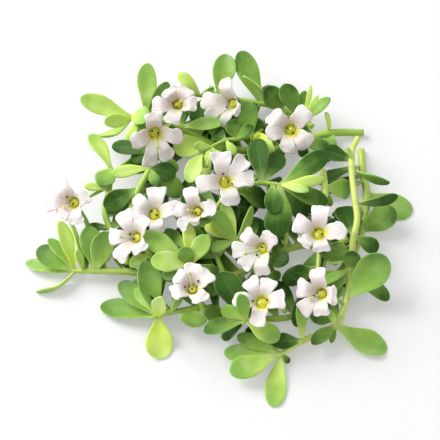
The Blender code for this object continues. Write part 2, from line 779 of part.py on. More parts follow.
def undergrowth(stem, line):
    """Dark leaves in whorls at even steps along a stem, in directions that turn from whorl to whorl."""
    chance = random.Random(stem)
    for whorl, index in enumerate(range(UNDERGROWTH_START, len(line) - UNDERGROWTH_END, UNDERGROWTH_STEP)):
        way = (line[index + 1] - line[index - 1]).normalized()
        sideways = way.cross(Vector((0, 0, 1))).normalized()
        for turn in range(UNDERGROWTH_TURNS):
            angle = 2 * math.pi * (turn / UNDERGROWTH_TURNS + whorl * WHORL_TURN)
            outward = Matrix.Rotation(angle, 3, way) @ sideways
            reach = outward * UNDERGROWTH_OUTWARD + way * UNDERGROWTH_FORWARD
            tip = line[index] + reach * chance.uniform(*UNDERGROWTH_LENGTH)
            width, roll, tone = (
                chance.uniform(*limits) for limits in (UNDERGROWTH_WIDTH, UNDERGROWTH_ROLL, UNDERGROWTH_TONE)
            )
            column, row = picture_place(tip)
            if tip.z >= LOWEST_TIP and inside(column, row):
                leaf = Leaf(column, row, tip.z / MM / SUNK, width, roll, tone)
                yield Growing(leaf, stem, line[index], 0.0)


def inside(column, row):
    """Whether a place in the picture is within the heap's outline, and not where the table shows."""
    if any((column - x) ** 2 + (row - y) ** 2 < radius**2 for x, y, radius in OPEN_PLACES):
        return False
    crossings = 0
    for (x, y), (following_x, following_y) in zip(HEAP_OUTLINE, HEAP_OUTLINE[1:] + HEAP_OUTLINE[:1]):
        if (y > row) != (following_y > row):
            crossings += column < x + (following_x - x) * (row - y) / (following_y - y)
    return crossings % 2 == 1


def hides(standing, growing):
    """Whether a leaf would stand in front of what shows in the picture."""
    bm = blade(growing.foot, growing.leaf, start=FREE_OF_STEM)
    for vert in bm.verts:
        eye, _ = picture_ray(0, 0)
        ray = (vert.co - eye).normalized()
        if standing.ray_cast(eye, ray, (vert.co - eye).length - GAP)[0]:
            continue
        if standing.ray_cast(vert.co + ray * GAP, ray, VIEW_DISTANCE)[0]:
            return True
        if not inside(*picture_place(vert.co)):
            return True
    return False


def mesh_object(name, bm, colour, roughness):
    """An object with its own material, shaded smooth up to the sharp angle."""
    mesh = bpy.data.meshes.new(name)
    bm.to_mesh(mesh)
    bm.free()
    mesh.shade_smooth()
    mesh.set_sharp_from_angle(angle=SHARP_ANGLE)
    material = bpy.data.materials.new(name)
    material.use_nodes = True
    shader = material.node_tree.nodes["Principled BSDF"]
    shader.inputs["Base Color"].default_value = (*colour, 1.0)
    shader.inputs["Roughness"].default_value = roughness
    mesh.materials.append(material)
    built = bpy.data.objects.new(name, mesh)
    bpy.context.collection.objects.link(built)
    return built


def leaf_colour(tone):
    """From dark green at 0 to pale yellow-green at 2."""
    if tone < 1:
        return DARK_LEAF.lerp(MIDDLE_LEAF, tone)
    return MIDDLE_LEAF.lerp(YOUNG_LEAF, tone - 1)


def unite(target, parts):
    """Joins the parts to the target as one closed body."""
    helpers = []
    for bm in parts:
        mesh = bpy.data.meshes.new(target.name + "_part")
        bm.to_mesh(mesh)
        bm.free()
        helper = bpy.data.objects.new(mesh.name, mesh)
        bpy.context.collection.objects.link(helper)
        helpers.append(helper)
        union = target.modifiers.new("union", "BOOLEAN")
        union.operation = "UNION"
        union.solver = "EXACT"
        union.object = helper
    bpy.context.view_layer.update()
    united = bpy.data.meshes.new_from_object(target.evaluated_get(bpy.context.evaluated_depsgraph_get()))
    target.modifiers.clear()
    target.data = united
    for helper in helpers:
        bpy.data.objects.remove(helper)


def lay_stems(clump):
    """The stems as tubes, and the line of points along each that leaves and flowers grow from."""
    stems = {}
    lines = {}
    for name, (radius, points) in STEMS.items():
        route = through([place(*point) for point in points], STEM_STEP)
        shares = [1.0] * (len(route) - len(STEM_TAPER)) + STEM_TAPER
        stems[name] = tube(route, [radius * MM * share for share in shares], STEM_SIDES)
        for vert in stems[name].verts:
            vert.co.z = max(vert.co.z, 0.0)
        lines[name] = evenly(route, LINE_STEP)
        clump.add(name, stems[name])
    return stems, lines


def open_flowers(clump, lines, joined):
    """The flowers, each with its cup and stalk, which are joined to a stem."""
    for flower in FLOWERS:
        petals = corolla(flower)
        clump.add(flower.name, petals)
        mesh_object(flower.name, petals, PETAL_WHITE, PETAL_ROUGHNESS)
    for flower in FLOWERS:
        for part in (cup(flower), stalk(flower, lines[flower.stem])):
            clump.add(flower.stem, part)
            joined[flower.stem].append(part)


def grow_leaves(clump, lines, joined):
    """The leaves of the tables, from the highest down: the largest on their own, the rest joined."""
    leaves = []
    for stem, joints in LEAVES.items():
        for (column, row), growing in joints.items():
            foot = nearest(lines[stem], column, row)
            for leaf in growing:
                size = leaf.width * (place(leaf.x, leaf.y, leaf.height) - foot).length
                leaves.append(Growing(leaf, stem, foot, size))
    largest = sorted(leaves, key=lambda growing: -growing.size)[:OWN_LEAVES]
    count = 0
    for growing in sorted(leaves, key=lambda growing: -growing.leaf.height):
        own = growing in largest
        free_place = settle(clump, growing, own, LIFTS)
        if free_place and own:
            count += 1
            name = f"leaf_{count:02d}"
            bm = blade(*free_place, rings=LARGE_LEAF_RINGS)
            clump.add(name, bm)
            mesh_object(name, bm, leaf_colour(growing.leaf.tone), LEAF_ROUGHNESS)
        elif free_place:
            bm = blade(*free_place, rings=SMALL_LEAF_RINGS)
            clump.add(growing.stem, bm)
            joined[growing.stem].append(bm)


def grow_undergrowth(clump, lines, joined):
    """The shaded leaves, where there is room and they cover nothing that shows."""
    showing = clump.all()
    for stem in STEMS:
        for growing in undergrowth(stem, lines[stem]):
            if hides(showing, growing):
                continue
            free_place = settle(clump, growing, False, UNDERGROWTH_LIFTS)
            if free_place:
                bm = blade(*free_place, rings=UNDERGROWTH_RINGS)
                clump.add(stem, bm)
                joined[stem].append(bm)


def main():
    for existing in bpy.data.objects[:]:
        bpy.data.objects.remove(existing)
    clump = Clump()
    joined = {name: [] for name in STEMS}
    stems, lines = lay_stems(clump)
    open_flowers(clump, lines, joined)
    grow_leaves(clump, lines, joined)
    grow_undergrowth(clump, lines, joined)
    for name, bm in stems.items():
        unite(mesh_object(name, bm, STEM_GREEN, LEAF_ROUGHNESS), joined[name])


main()
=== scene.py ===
"""A bunch of flowering water hyssop (Bacopa monnieri), cut and laid on a pale table.

The layout is worked out as in the solids, so every fine piece lies where its solid does.
"""

import math
import random
from typing import NamedTuple

import bmesh
import bpy
from mathutils import Matrix, Vector
from mathutils.bvhtree import BVHTree


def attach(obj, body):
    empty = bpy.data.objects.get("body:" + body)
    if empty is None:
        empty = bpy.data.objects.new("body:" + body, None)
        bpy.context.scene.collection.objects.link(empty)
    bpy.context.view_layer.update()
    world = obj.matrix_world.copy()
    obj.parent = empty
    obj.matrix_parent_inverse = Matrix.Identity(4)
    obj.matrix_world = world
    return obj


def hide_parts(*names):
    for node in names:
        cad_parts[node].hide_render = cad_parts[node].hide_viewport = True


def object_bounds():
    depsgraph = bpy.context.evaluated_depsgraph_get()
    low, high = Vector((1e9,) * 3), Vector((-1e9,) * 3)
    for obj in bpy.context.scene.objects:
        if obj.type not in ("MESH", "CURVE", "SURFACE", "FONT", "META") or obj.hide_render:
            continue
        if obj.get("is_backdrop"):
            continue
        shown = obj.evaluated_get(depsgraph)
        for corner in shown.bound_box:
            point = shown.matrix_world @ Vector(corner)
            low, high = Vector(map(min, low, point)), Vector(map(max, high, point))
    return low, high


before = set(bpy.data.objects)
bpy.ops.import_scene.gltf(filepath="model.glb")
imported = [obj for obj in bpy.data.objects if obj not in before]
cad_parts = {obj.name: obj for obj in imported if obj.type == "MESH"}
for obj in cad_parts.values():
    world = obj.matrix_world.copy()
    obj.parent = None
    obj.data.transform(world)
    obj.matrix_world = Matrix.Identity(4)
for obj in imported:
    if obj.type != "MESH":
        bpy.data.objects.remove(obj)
cad_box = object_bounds()

MM = 0.001
RIGHT = Vector((1, 0, 0))
UPRIGHT = Vector((0, 0, 1))

# The picture in which the plant was laid out, seen from the front and above
PICTURE_SIDE = 440
PIXEL = 0.25 * MM
VIEW_DISTANCE = 420 * MM
VIEW_ELEVATION = math.radians(60)
AIM = Vector((-0.2 * MM, -2.2 * MM, 10 * MM))
# How flat the heap lies, as a share of the heights in the tables
SUNK = 0.8

# Free room between two plain forms
GAP = 0.3 * MM

# Plain leaves: balls with few faces, drawn out to blades that are thinner at both ends
LEAF_THICKNESS = 0.9 * MM
THIN_END = 0.5
PRESSED_THICKNESS = LEAF_THICKNESS / 2
WIDEST_AT = 0.66
BASE_WIDTH = 0.24
PLAIN_RINGS = 4
PLAIN_OWN_RINGS = 5
PLAIN_SIDES = 4
POLE_RADIUS = 0.01
# How much a blade faces the eye, and the height in mm below which it ever more faces up instead
FACING_EYE = 0.45
LYING_BELOW = 5

# How many of the largest leaves are solids of their own
OWN_LEAVES = 32
# Heights in mm that a leaf's tip is moved by in its search for room, and the lowest that it may be
LIFTS = (0, 1, -1, 2, -2, 3, -3, 4, -4, 5, -5, 6, -6, 7, 8, 9)
LOWEST_TIP = 0.3 * MM
# In radii of its stem: how far off a leaf of its own begins, and how deep inside any other one does
BASE_DISTANCES = (1.2, 1.6, 2.2, 3.0)
FOOT_DEPTH = 0.3
# Where along a leaf it has left its stem behind
FREE_OF_STEM = 0.3
# Points at the foot and the tip of a stem's line that nothing grows from
FREE_FOOT = 1
FREE_TIP = 2

# Shaded leaves in whorls along the stems, with the limits that each is drawn from
UNDERGROWTH_TURNS = 6
UNDERGROWTH_RINGS = 3
WHORL_TURN = 0.11
UNDERGROWTH_OUTWARD = 0.9
UNDERGROWTH_FORWARD = 0.4
UNDERGROWTH_LENGTH = (9.5 * MM, 13.5 * MM)
UNDERGROWTH_WIDTH = (5.2, 7.2)
UNDERGROWTH_ROLL = (-50, 50)
# Dark tones: partly the older leaves' own colour, partly painted shade for leaves deep in the heap
UNDERGROWTH_TONE = (0.0, 0.5)
UNDERGROWTH_LIFTS = (0, -1.5, 1.5, -3)
UNDERGROWTH_END = 3
# First joint and spacing in mm, and size of the shaded leaves that the solids have
UNDERGROWTH_IN_SOLIDS = (5, 10, 1.0)
# The same of further rounds between them, ever smaller
UNDERGROWTH_BETWEEN = ((8, 5, 1.0), (6, 4, 0.75), (7, 3, 0.55))
# Places along a shaded leaf that are held free of the gaps
KEPT_CLEAR = (0.5, 0.8, 1.0)

# Plain flowers, and the cups and stalks that carry them
THROAT_RADIUS = 1.5 * MM
MOUTH_DEPTH = 0.8 * MM
TUBE_LENGTH = 2.4 * MM
PETAL_THICKNESS = 0.4 * MM
# Along a petal: the share of its length, its half width, and how far forward it is
PETAL_STATIONS = ((0.62, 2.3 * MM, 0.5 * MM), (1.0, 1.9 * MM, 0.2 * MM))
PETAL_FOOT = math.radians(28)
PETAL_ROOM = 0.47
CUP_RADIUS = 1.3 * MM
CUP_LENGTH = 2.2 * MM
CUP_TOP = 0.7
CUP_GAP = 0.45 * MM
STALK_RADIUS = 0.42 * MM
PLAIN_STALK_SIDES = 4
STALK_STEP = 3 * MM
STALK_TOP = 0.8
STALK_NECK = 1.5 * MM
STALK_ARCH = 0.5 * MM

# Plain stems, with the shares of their radius that their last points have
PLAIN_STEM_SIDES = 5
PLAIN_STEM_STEP = 6 * MM
STEM_TAPER = [0.8, 0.45]
LINE_STEP = 1 * MM

# Fine leaves, with the limits that each is drawn from
LEAF_SIDES = 20
LEAF_RINGS = 18
SHADED_SIDES = 12
SHADED_RINGS = 10
LEAF_CUPPING = (0.04, 0.40)
LEAF_WAVE = (0.03, 0.12)
LEAF_TWIST = (-14, 14)
LEAF_SLIP = (-0.06, 0.06)
TONE_SPREAD = 0.14
MIDRIB_DEPTH = 0.10 * MM
MIDRIB_WIDTH = 0.16
# The square of the place across a blade where cupping moves nothing
CUPPING_REST = 0.35
RIM_WAVES = 9
# Flattens a blade's section, which would be an ellipse at 1
SECTION_POWER = 0.8

# Fine stems
STEM_SIDES = 14
STEM_STEP = 0.7 * MM
JOINT_SWELLING = 0.15
JOINT_REACH = 0.9 * MM

# Fine petals: places along from -0.45, the foot of the tube, over 0, its mouth, to 1, the tip
PETAL_SIDES = 14
PETAL_RINGS = 22
PETAL_SHEET = 0.2 * MM
TUBE_SHARE = 0.45
MOUTH_RADIUS = 1.6 * MM
TUBE_FOOT_RADIUS = 0.85 * MM
TUBE_CURVE = 1.5
# Where along a petal the funnel has opened, and how far it has then come forward
FUNNEL_SHARE = 0.6
FUNNEL_RISE = 1.4 * MM
# How much neighbouring petals overlap where they are grown together, and the widest half gap
OVERLAP = 1.04
WIDEST_HALF_GAP = 1.2
# How softly the funnel passes into the lobes
PARTING_POWER = 6
# A lobe's breadth at its foot and what it gains, as shares of its half width
LOBE_FOOT = 0.94
LOBE_GAIN = 0.16
# How far the tip's corners lie back on the squarest lobe, the power of its outline there, and the share
# of the half width that the outline is drawn over
SQUARE_CORNER = 0.45 * MM
SQUARE_POWER = 5
ROUND_POWER = 2
CORNER_REACH = 0.98
# From where to where along a petal each of its forms sets in
PARTS_FROM_FUNNEL = (0, 0.5)
BROADENS = (0.4, 0.85)
ROUNDS_ITS_TIP = (0.4, 1)
BENDS = (0.4, 1.05)
CURLS = (0.2, 0.8)
TWISTS = (0.3, 1)
RIPPLES = (0.3, 0.8)
# Waves of the rim, in its outline and forward: their height and how tight they are
NOTCHES = (0.10 * MM, 6)
FLUTES = (0.12 * MM, 3.6)
# How tight the ripples of a petal's sides are, along and across
RIPPLE_TURNS = (7, 2.5)
# What each petal draws anew, in mm, and the tone, which sets its painted shade, that it takes from the way
# it points
PETAL_BEND = (-0.8, -0.1)
PETAL_CURL = (-0.35, 0.45)
PETAL_SLANT = (-0.4, 0.4)
PETAL_TWIST = (-0.4, 0.4)
PETAL_RUFFLE = (0.08, 0.26)
PETAL_TONE = 0.5
PETAL_TONE_SPREAD = 0.15
# The side of a flower where the petals get the most painted grey shade, and how much
PAINTED_SHADE_SIDE = Vector((-0.8, 0.6, 0))
PAINTED_SHADE_SHARE = 0.4

# The middle of a flower: numbers of its finishes
THREAD, ANTHER, OVARY, STIGMA = range(4)
THREAD_STEP = 0.3 * MM
THREAD_SIDES = 6
THREAD_TAPER = 0.3
FILAMENT_RADIUS = 0.11 * MM
# A filament's foot below the throat and out from the axis, and its knee: share of the way out, and depth
FILAMENT_FOOT = (1.9 * MM, 0.8 * MM)
FILAMENT_KNEE = (0.75, 0.8 * MM)
# Two lobes to an anther: radius across and along, how far apart, how much they spread, and how they tip
ANTHER_RADII = (0.16 * MM, 0.38 * MM)
ANTHER_APART = 0.75
ANTHER_SPREAD = 0.22
ANTHER_TIP = (-0.3, 0.5)
ANTHER_FORWARD = 0.1 * MM
STYLE_RADIUS = 0.13 * MM
STYLE_FOOT_DEPTH = 1.8 * MM
STYLE_KNEE = (0.55, 0.3 * MM)
# Radius across and along the flower's axis, and how many faces are round it and along it
STIGMA_RADII = (0.38 * MM, 0.28 * MM)
STIGMA_ROUNDS = (12, 10)
STIGMA_FORWARD = 0.6 * MM
OVARY_RADII = (1.35 * MM, 0.45 * MM)
OVARY_ROUNDS = (16, 10)
OVARY_DEPTH = 1.8 * MM
# How much smaller the ovary is in the palest throat
OVARY_SHRINKING = 0.3

# Fine sepals: broad ones and narrow ones in turn, each with its half width and how far out its tip is
SEPALS = 5
BROAD_SEPAL = (1.15 * MM, 1.75 * MM)
NARROW_SEPAL = (0.8 * MM, 1.35 * MM)
SEPAL_ROOT = 0.45 * MM
SEPAL_REACH = 1.5 * MM
SEPAL_THICKNESS = 0.35 * MM
SEPAL_ROUNDS = 10
SEPAL_WIDEST = 0.35
SEPAL_FOOT = 0.45
SEPAL_TIP = 1.15
# A stalk's knob under the sepals, in radii of the stalk, and its radius at the foot and how that shrinks
STALK_KNOB = 2.1
STALK_FOOT = 1.1
STALK_THINNING = 0.25
FINE_STALK_STEP = 0.8 * MM
FINE_STALK_SIDES = 10

# The table, its two greys and its glow; the even light, and the large soft one
TABLE_HALF_SIDE = 3
TABLE_GREYS = ((0.50, 0.50, 0.50), (0.53, 0.53, 0.53))
TABLE_GLOW = 0.30
WHITE = (1.0, 1.0, 1.0)
SKY_STRENGTH = 0.70
KEY_PLACE = Vector((-0.62, 0.35, 0.62))
KEY_SIDE = 0.55
KEY_POWER = 10.2


class Leaf(NamedTuple):
    """A leaf by its tip: picture column and row, height in mm, blade width in mm, roll in degrees.

    tone goes from below 0, dark and old, to 3, the palest bud; each leaf's tone was also set to how light or
    dark it shows, so it holds painted shade and painted light too. bend arches the blade, as a share of its
    length.
    """

    x: float
    y: float
    height: float
    width: float
    roll: float = 0.0
    tone: float = 1.0
    bend: float = 0.06


class Flower(NamedTuple):
    """A flower by its throat, petal tips, anthers and stigma, as picture columns and rows, and its lobes."""

    name: str
    throat: tuple
    tips: tuple
    tilt: tuple
    stem: str
    stalk_from: tuple
    anthers: tuple
    stigma: tuple
    lobes: tuple


# Stems: picture column, row and height in mm along each, from its cut or lower end to its tip
STEMS = {
    "right_runner": (
        0.8,
        [(358, 138, 8), (352, 152, 9.5), (352, 175, 11), (355, 200, 12), (357, 220, 11.5), (353, 240, 10),
         (351, 262, 8), (348, 290, 5.5), (336, 325, 3.5), (302, 341, 3), (281, 354, 3), (268, 360, 3.5)],
    ),
    "left_runner": (
        0.9,
        [(348, 238, 7.5), (333, 246, 6), (299, 246, 4), (270, 257, 3), (238, 274, 2.5), (200, 283, 3),
         (165, 278, 3.5), (130, 272, 4), (95, 271, 4), (66, 271, 3.5)],
    ),
    "back_runner": (
        1.0,
        [(363, 133, 1.5), (332, 133, 3), (300, 141, 3), (268, 151, 3.5), (238, 150, 4.5), (211, 145, 6),
         (182, 127, 8.5), (150, 117, 9), (124, 118, 8)],
    ),
    "top_branch": (
        0.7,
        [(313, 127, 4), (296, 115, 4), (268, 105, 4.5), (240, 100, 5), (215, 97, 6), (192, 95, 7.5)],
    ),
    "young_shoot": (
        0.5,
        [(262, 130, 7), (254, 135, 9.5), (240, 139, 11.5), (226, 140, 12.5), (211, 147, 13), (196, 157, 13)],
    ),
    "centre_shoot": (
        0.7,
        [(236, 307, 5), (226, 280, 5.5), (216, 253, 5.8), (212, 228, 7.5), (220, 203, 11), (240, 188, 14),
         (262, 183, 16), (288, 186, 17)],
    ),
    "inner_shoot": (0.6, [(286, 312, 4), (272, 296, 5), (258, 275, 7), (243, 252, 10), (231, 234, 13)]),
    "middle_shoot": (
        0.7,
        [(205, 314, 6), (202, 305, 7.5), (196, 293, 9.5), (190, 274, 12.5), (190, 257, 15)],
    ),
    "lower_branch": (
        0.8,
        [(318, 312, 1.2), (285, 318, 1.2), (245, 318, 2), (208, 308, 4), (178, 311, 5.5), (150, 318, 6)],
    ),
    "front_shoot": (
        0.6,
        [(284, 296, 8.5), (272, 304, 9), (258, 312, 9.5), (246, 320, 10.5), (242, 324, 11)],
    ),
    "upper_left_branch": (
        0.8,
        [(127, 264, 7.5), (126, 255, 8), (114, 235, 9), (105, 213, 10), (109, 190, 11), (112, 172, 11),
         (108, 163, 11)],
    ),
    "inner_left_branch": (
        0.8,
        [(158, 270, 7), (150, 255, 8), (137, 232, 10), (131, 208, 11), (139, 189, 12), (150, 168, 13),
         (158, 150, 13), (172, 134, 13)],
    ),
    "short_cut_stem": (
        0.8,
        [(323, 170, 13), (325, 192, 12.5), (322, 222, 11), (320, 246, 8), (318, 268, 6), (315, 284, 5)],
    ),
    "far_right_stem": (
        1.0,
        [(361, 150, 1), (363, 172, 1), (367, 195, 1), (364, 218, 1), (358, 243, 1), (345, 265, 1),
         (325, 285, 1)],
    ),
}

# Painted light: how much paler each stem that lies in the light is painted; the others take the share of a
# shaded stem and stay greener
PAINTED_LIT_STEMS = {"right_runner": 1.0, "short_cut_stem": 1.0, "left_runner": 0.6, "far_right_stem": 0.6}
PAINTED_SHADED_STEM = 0.25

# Leaves by stem and by the joint of the stem (picture column and row) that they grow from. The numbers
# of each are those of a Leaf, in its order.
LEAVES = {
    "left_runner": {
        (67, 270): [
            (26, 262, 0.5, 5.0, 15, 1.35, -0.05), (37, 249, 6, 5.6, 0, 0.7), (59, 221, 12, 4.0, 20, 2.1),
            (48, 239, 8, 3.6, 30, 1.05), (36, 292, 0.6, 4.5, 75, 1.6, -0.13),
        ],
        (82, 270): [(76, 250, 8, 3, 40, 2.2), (70, 221, 13, 1.8, 40, 2.1)],
        (93, 269): [
            (89, 226, 13, 5.8, 0, 0.9), (106, 231, 9, 6.0, 10, 1.3), (112, 243, 7, 3.2, 60, 1.9),
            (81, 210, 13, 3.0, 65, 1.5),
        ],
        (270, 257): [(288, 262, 6, 5.0, 0, 0.5)],
        (285, 250): [(283, 221, 12, 3.0, 65, 2.2)],
    },
    "upper_left_branch": {
        (108, 163): [(90, 134, 15, 4.2, 20, 1.9), (102, 186, 14, 5.6, 0, 0.7)],
        (109, 190): [(84, 186, 13, 2.4, 0, 2.0)],
    },
    "inner_left_branch": {
        (150, 255): [(130, 266, 9, 3.5, 0, 1.9)],
        (139, 189): [(104, 207, 11, 5.2, 0, 0.1)],
        (150, 168): [
            (111, 174, 11, 3.4, 0, 1.9), (158, 187, 13, 3.0, 20, 0.6), (176, 174, 10, 5.0, 0, -0.1),
            (182, 196, 10, 5.4, 0, 0.7),
        ],
        (158, 152): [(131, 160, 10, 3.8, 0, 0.0), (112, 146, 9, 4.0, 0, 0.1), (178, 171, 11, 3.2, 20, 1.3)],
    },
    "back_runner": {
        (124, 118): [
            (80, 98, 15, 5.2, 0, 1.9), (104, 122, 12, 3.8, -20, 2.1), (97, 136, 9, 4.0, 40, 1.9, -0.15),
        ],
        (131, 118): [(150, 116, 15, 5.2, 0, 1.3)],
        (146, 116): [(148, 63, 20, 5.3, 0, 1.2), (168, 82, 15, 4.4, 20, 0.8), (139, 136, 10, 3.0, 0, 0.8)],
        (182, 127): [(222, 124, 14, 3.8, 0, 1.2)],
        (209, 146): [(173, 149, 9, 6.0, 0, 2.0), (206, 180, 8, 3.5, 30, 1.9)],
        (300, 141): [(330, 149, 4, 4.0, 0, 0.5)],
        (327, 133): [(326, 112, 9, 2.0, 60, 2.4)],
    },
    "young_shoot": {
        (198, 156): [
            (189, 183, 14, 4.7, 10, 1.8), (207, 168, 14, 2.4, 30, 2.5), (199, 149, 14, 3.0, 20, 2.7),
        ],
        (211, 147): [(194, 146, 14, 2.6, 0, 1.8), (221, 160, 12, 2.4, 20, 1.3)],
        (226, 140): [(214, 134, 11, 4.0, 0, -0.3), (236, 155, 12, 2.6, 30, 1.7)],
        (236, 139): [(231, 119, 15, 4.4, 0, 0.4), (253, 126, 15, 3.2, 0, 0.5)],
        (250, 136): [(245, 101, 17, 5.6, 0, 0.8)],
        (255, 134): [(274, 158, 14, 4.6, 20, 2.4, 0.25)],
    },
    "top_branch": {
        (192, 95): [(178, 74, 13, 3.8, 10, 2.3, 0.12), (214, 87, 10, 1.6, 30, 1.5)],
        (219, 98): [(227, 54, 14, 6.2, 0, 1.25)],
        (262, 103): [(240, 51, 14, 6.0, 0, 0.7)],
        (276, 110): [(243, 76, 17, 1.7, 80, 2.2)],
        (282, 112): [(264, 89, 9, 6.2, 0, 0.6)],
        (296, 116): [(284, 84, 13, 5.5, 0, 0.5), (306, 91, 9, 3.0, 0, 0.9)],
        (305, 122): [(330, 98, 14, 3.4, 0, 1.1), (311, 85, 11, 1.5, 0, 2.0), (318, 95, 10, 1.6, 0, 2.0)],
    },
    "centre_shoot": {
        (287, 186): [
            (325, 179, 19, 3.0, 10, 1.9), (309, 191, 17, 2.5, 0, 1.7), (328, 203, 13, 4.4, 20, 0.5),
            (328, 153, 17, 5.4, 0, 0.4), (277, 238, 9, 7.0, 0, 0.2), (306, 217, 8, 6.0, 0, 0.3),
        ],
        (274, 184): [(273, 214, 15, 4.6, 0, 0.3)],
        (262, 182): [(257, 139, 16, 5.6, 0, -0.4), (281, 153, 12, 5.0, 10, 0.1)],
    },
    "inner_shoot": {
        (231, 234): [
            (223, 203, 16, 3.5, 0, 2.0), (252, 206, 16, 3.2, 50, 1.45), (212, 212, 12, 4.5, 10, 1.0),
            (211, 250, 10, 3.2, 0, 1.1),
        ],
        (240, 250): [(254, 219, 12, 4.2, 0, 0.4)],
    },
    "middle_shoot": {
        (190, 257): [
            (141, 233, 17, 5.6, 0, 1.4), (207, 235, 18, 4.5, 0, 1.45), (187, 222, 17, 3.8, 15, 2.3),
            (176, 247, 14, 3.0, 0, 0.5), (162, 277, 14, 4.2, 0, 1.0), (219, 271, 11, 2.6, 30, 0.6),
            (164, 230, 12, 5.2, 0, 0.9),
        ],
    },
    "lower_branch": {
        (150, 318): [
            (101, 305, 0.5, 6.0, 0, 0.7, -0.03), (119, 283, 7, 5.0, 0, 0.65), (136, 288, 10, 3.4, 0, 1.4),
            (149, 296, 15, 2.4, 60, -0.3), (144, 261, 16, 6.3, 0, 0.9), (161, 297, 14, 4.0, 0, 2.3),
            (160, 359, 0.4, 7.2, 0, 2.3, -0.06),
        ],
        (170, 313): [(175, 279, 12, 3.0, 65, 1.2), (181, 293, 10, 2.4, 50, 1.1)],
        (193, 309): [(192, 327, 5, 6.8, 0, 1.2)],
        (225, 312): [(204, 316, 4, 5.0, 0, 1.0)],
    },
    "front_shoot": {
        (244, 321): [
            (204, 332, 8, 4.8, 12, 0.65), (222, 318, 11, 2.6, 20, 2.2), (221, 308, 13, 3.6, 0, 1.35),
            (240, 294, 20, 3.6, 10, 1.2), (279, 340, 8, 5.0, 10, 1.4), (220, 273, 11, 7.0, 0, -0.1),
        ],
    },
    "short_cut_stem": {
        (325, 188): [(331, 206, 9, 2.2, 30, 1.5), (350, 190, 8, 5.5, 0, 0.8)],
        (292, 304): [(290, 272, 9, 4.4, 0, 0.2), (296, 327, 3, 5.0, 0, -0.3)],
    },
    "right_runner": {
        (352, 160): [
            (346, 148, 11, 2.0, 40, 1.6), (324, 150, 10, 4.5, 0, -0.3), (331, 145, 8, 2.5, 60, 2.1),
        ],
        (353, 170): [(390, 183, 10, 3.0, 70, 0.5)],
        (356, 203): [(398, 196, 11, 3.5, 60, 0.0)],
        (354, 238): [(378, 250, 6, 4.2, 0, 0.2), (342, 207, 7, 6.0, 0, -0.3)],
        (350, 270): [(353, 251, 11, 4.5, 0, 0.6), (323, 284, 10, 2.8, 20, 0.9), (389, 300, 3, 4.2, 0, 0.5)],
        (348, 298): [(387, 257, 13, 8.4, 0, 0.8)],
        (336, 326): [
            (386, 352, 0.4, 7.0, 0, 1.2, -0.05), (312, 344, 1.5, 3.6, 0, 0.4), (331, 343, 2, 1.6, 0, 0.7),
            (328, 311, 8, 2.4, 30, 1.5),
        ],
        (303, 341): [(299, 305, 11, 3.0, 20, 1.5), (271, 342, 2, 4.2, 0, 0.2)],
        (281, 354): [
            (237, 336, 6, 4.2, 15, 1.0), (273, 407, 0.4, 5.4, 0, 1.5, -0.06), (289, 363, 1, 1.8, 0, 0.4),
        ],
        (268, 360): [(224, 352, 3.5, 4.6, 0, 1.5), (230, 373, 3.5, 6.0, 0, 1.4)],
    },
    "far_right_stem": {
        (367, 195): [(412, 213, 0.4, 7.6, 0, 1.0, -0.05)],
        (361, 232): [(396, 211, 6, 7.2, 0, 0.6)],
    },
}

# Further leaves that show in the picture, past the number that the solids have
FURTHER_LEAVES = {
    "middle_shoot": {
        (185, 257): [(151, 261, 10, 5.6, 0, 1.9), (168, 272, 9, 6.0, 10, 1.7)],
        (188, 240): [(183, 247, 10, 4.4, 0, 0.8)],
    },
    "right_runner": {
        (348, 258): [(327, 262, 8, 3.0, 10, 2.0), (318, 251, 7, 3.4, 0, 0.5), (333, 244, 8, 3.2, 0, 0.6)],
        (339, 320): [(310, 316, 5, 5.0, 0, 0.4), (326, 300, 5, 4.0, 0, 0.3)],
    },
    "inner_shoot": {
        (222, 215): [(212, 221, 13, 3.4, 0, 3.2), (205, 226, 11, 3.2, 0, 2.9)],
    },
    "back_runner": {
        (140, 136): [(128, 152, 10, 3.8, 0, 1.9)],
    },
}

# The heap's outline in the picture, inside which the shaded leaves stay
HEAP_OUTLINE = [
    (60, 262), (70, 235), (100, 215), (105, 165), (130, 120), (175, 88), (215, 85), (262, 80), (300, 95),
    (325, 110), (345, 140), (355, 165), (385, 195), (385, 225), (370, 240), (365, 290), (345, 310),
    (318, 330), (285, 345), (235, 355), (205, 325), (165, 325), (120, 310), (125, 280), (95, 272),
]

# Places in the heap where the table shows: column, row and radius in the picture
OPEN_PLACES = [
    (181, 168, 7), (341, 201, 9), (292, 257, 7), (277, 317, 7), (291, 331, 6), (319, 328, 9), (289, 166, 9),
    (128, 178, 12),
]

# Gaps through which the table shows in the picture: column, row and radius
GAPS = [
    (119, 191, 9), (104, 191, 8), (133, 135, 8), (104, 261, 7), (175, 303, 8), (188, 303, 7), (175, 191, 6),
    (229, 93, 7), (243, 93, 7), (172, 333, 7), (290, 165, 7), (164, 288, 7), (180, 168, 6),
]

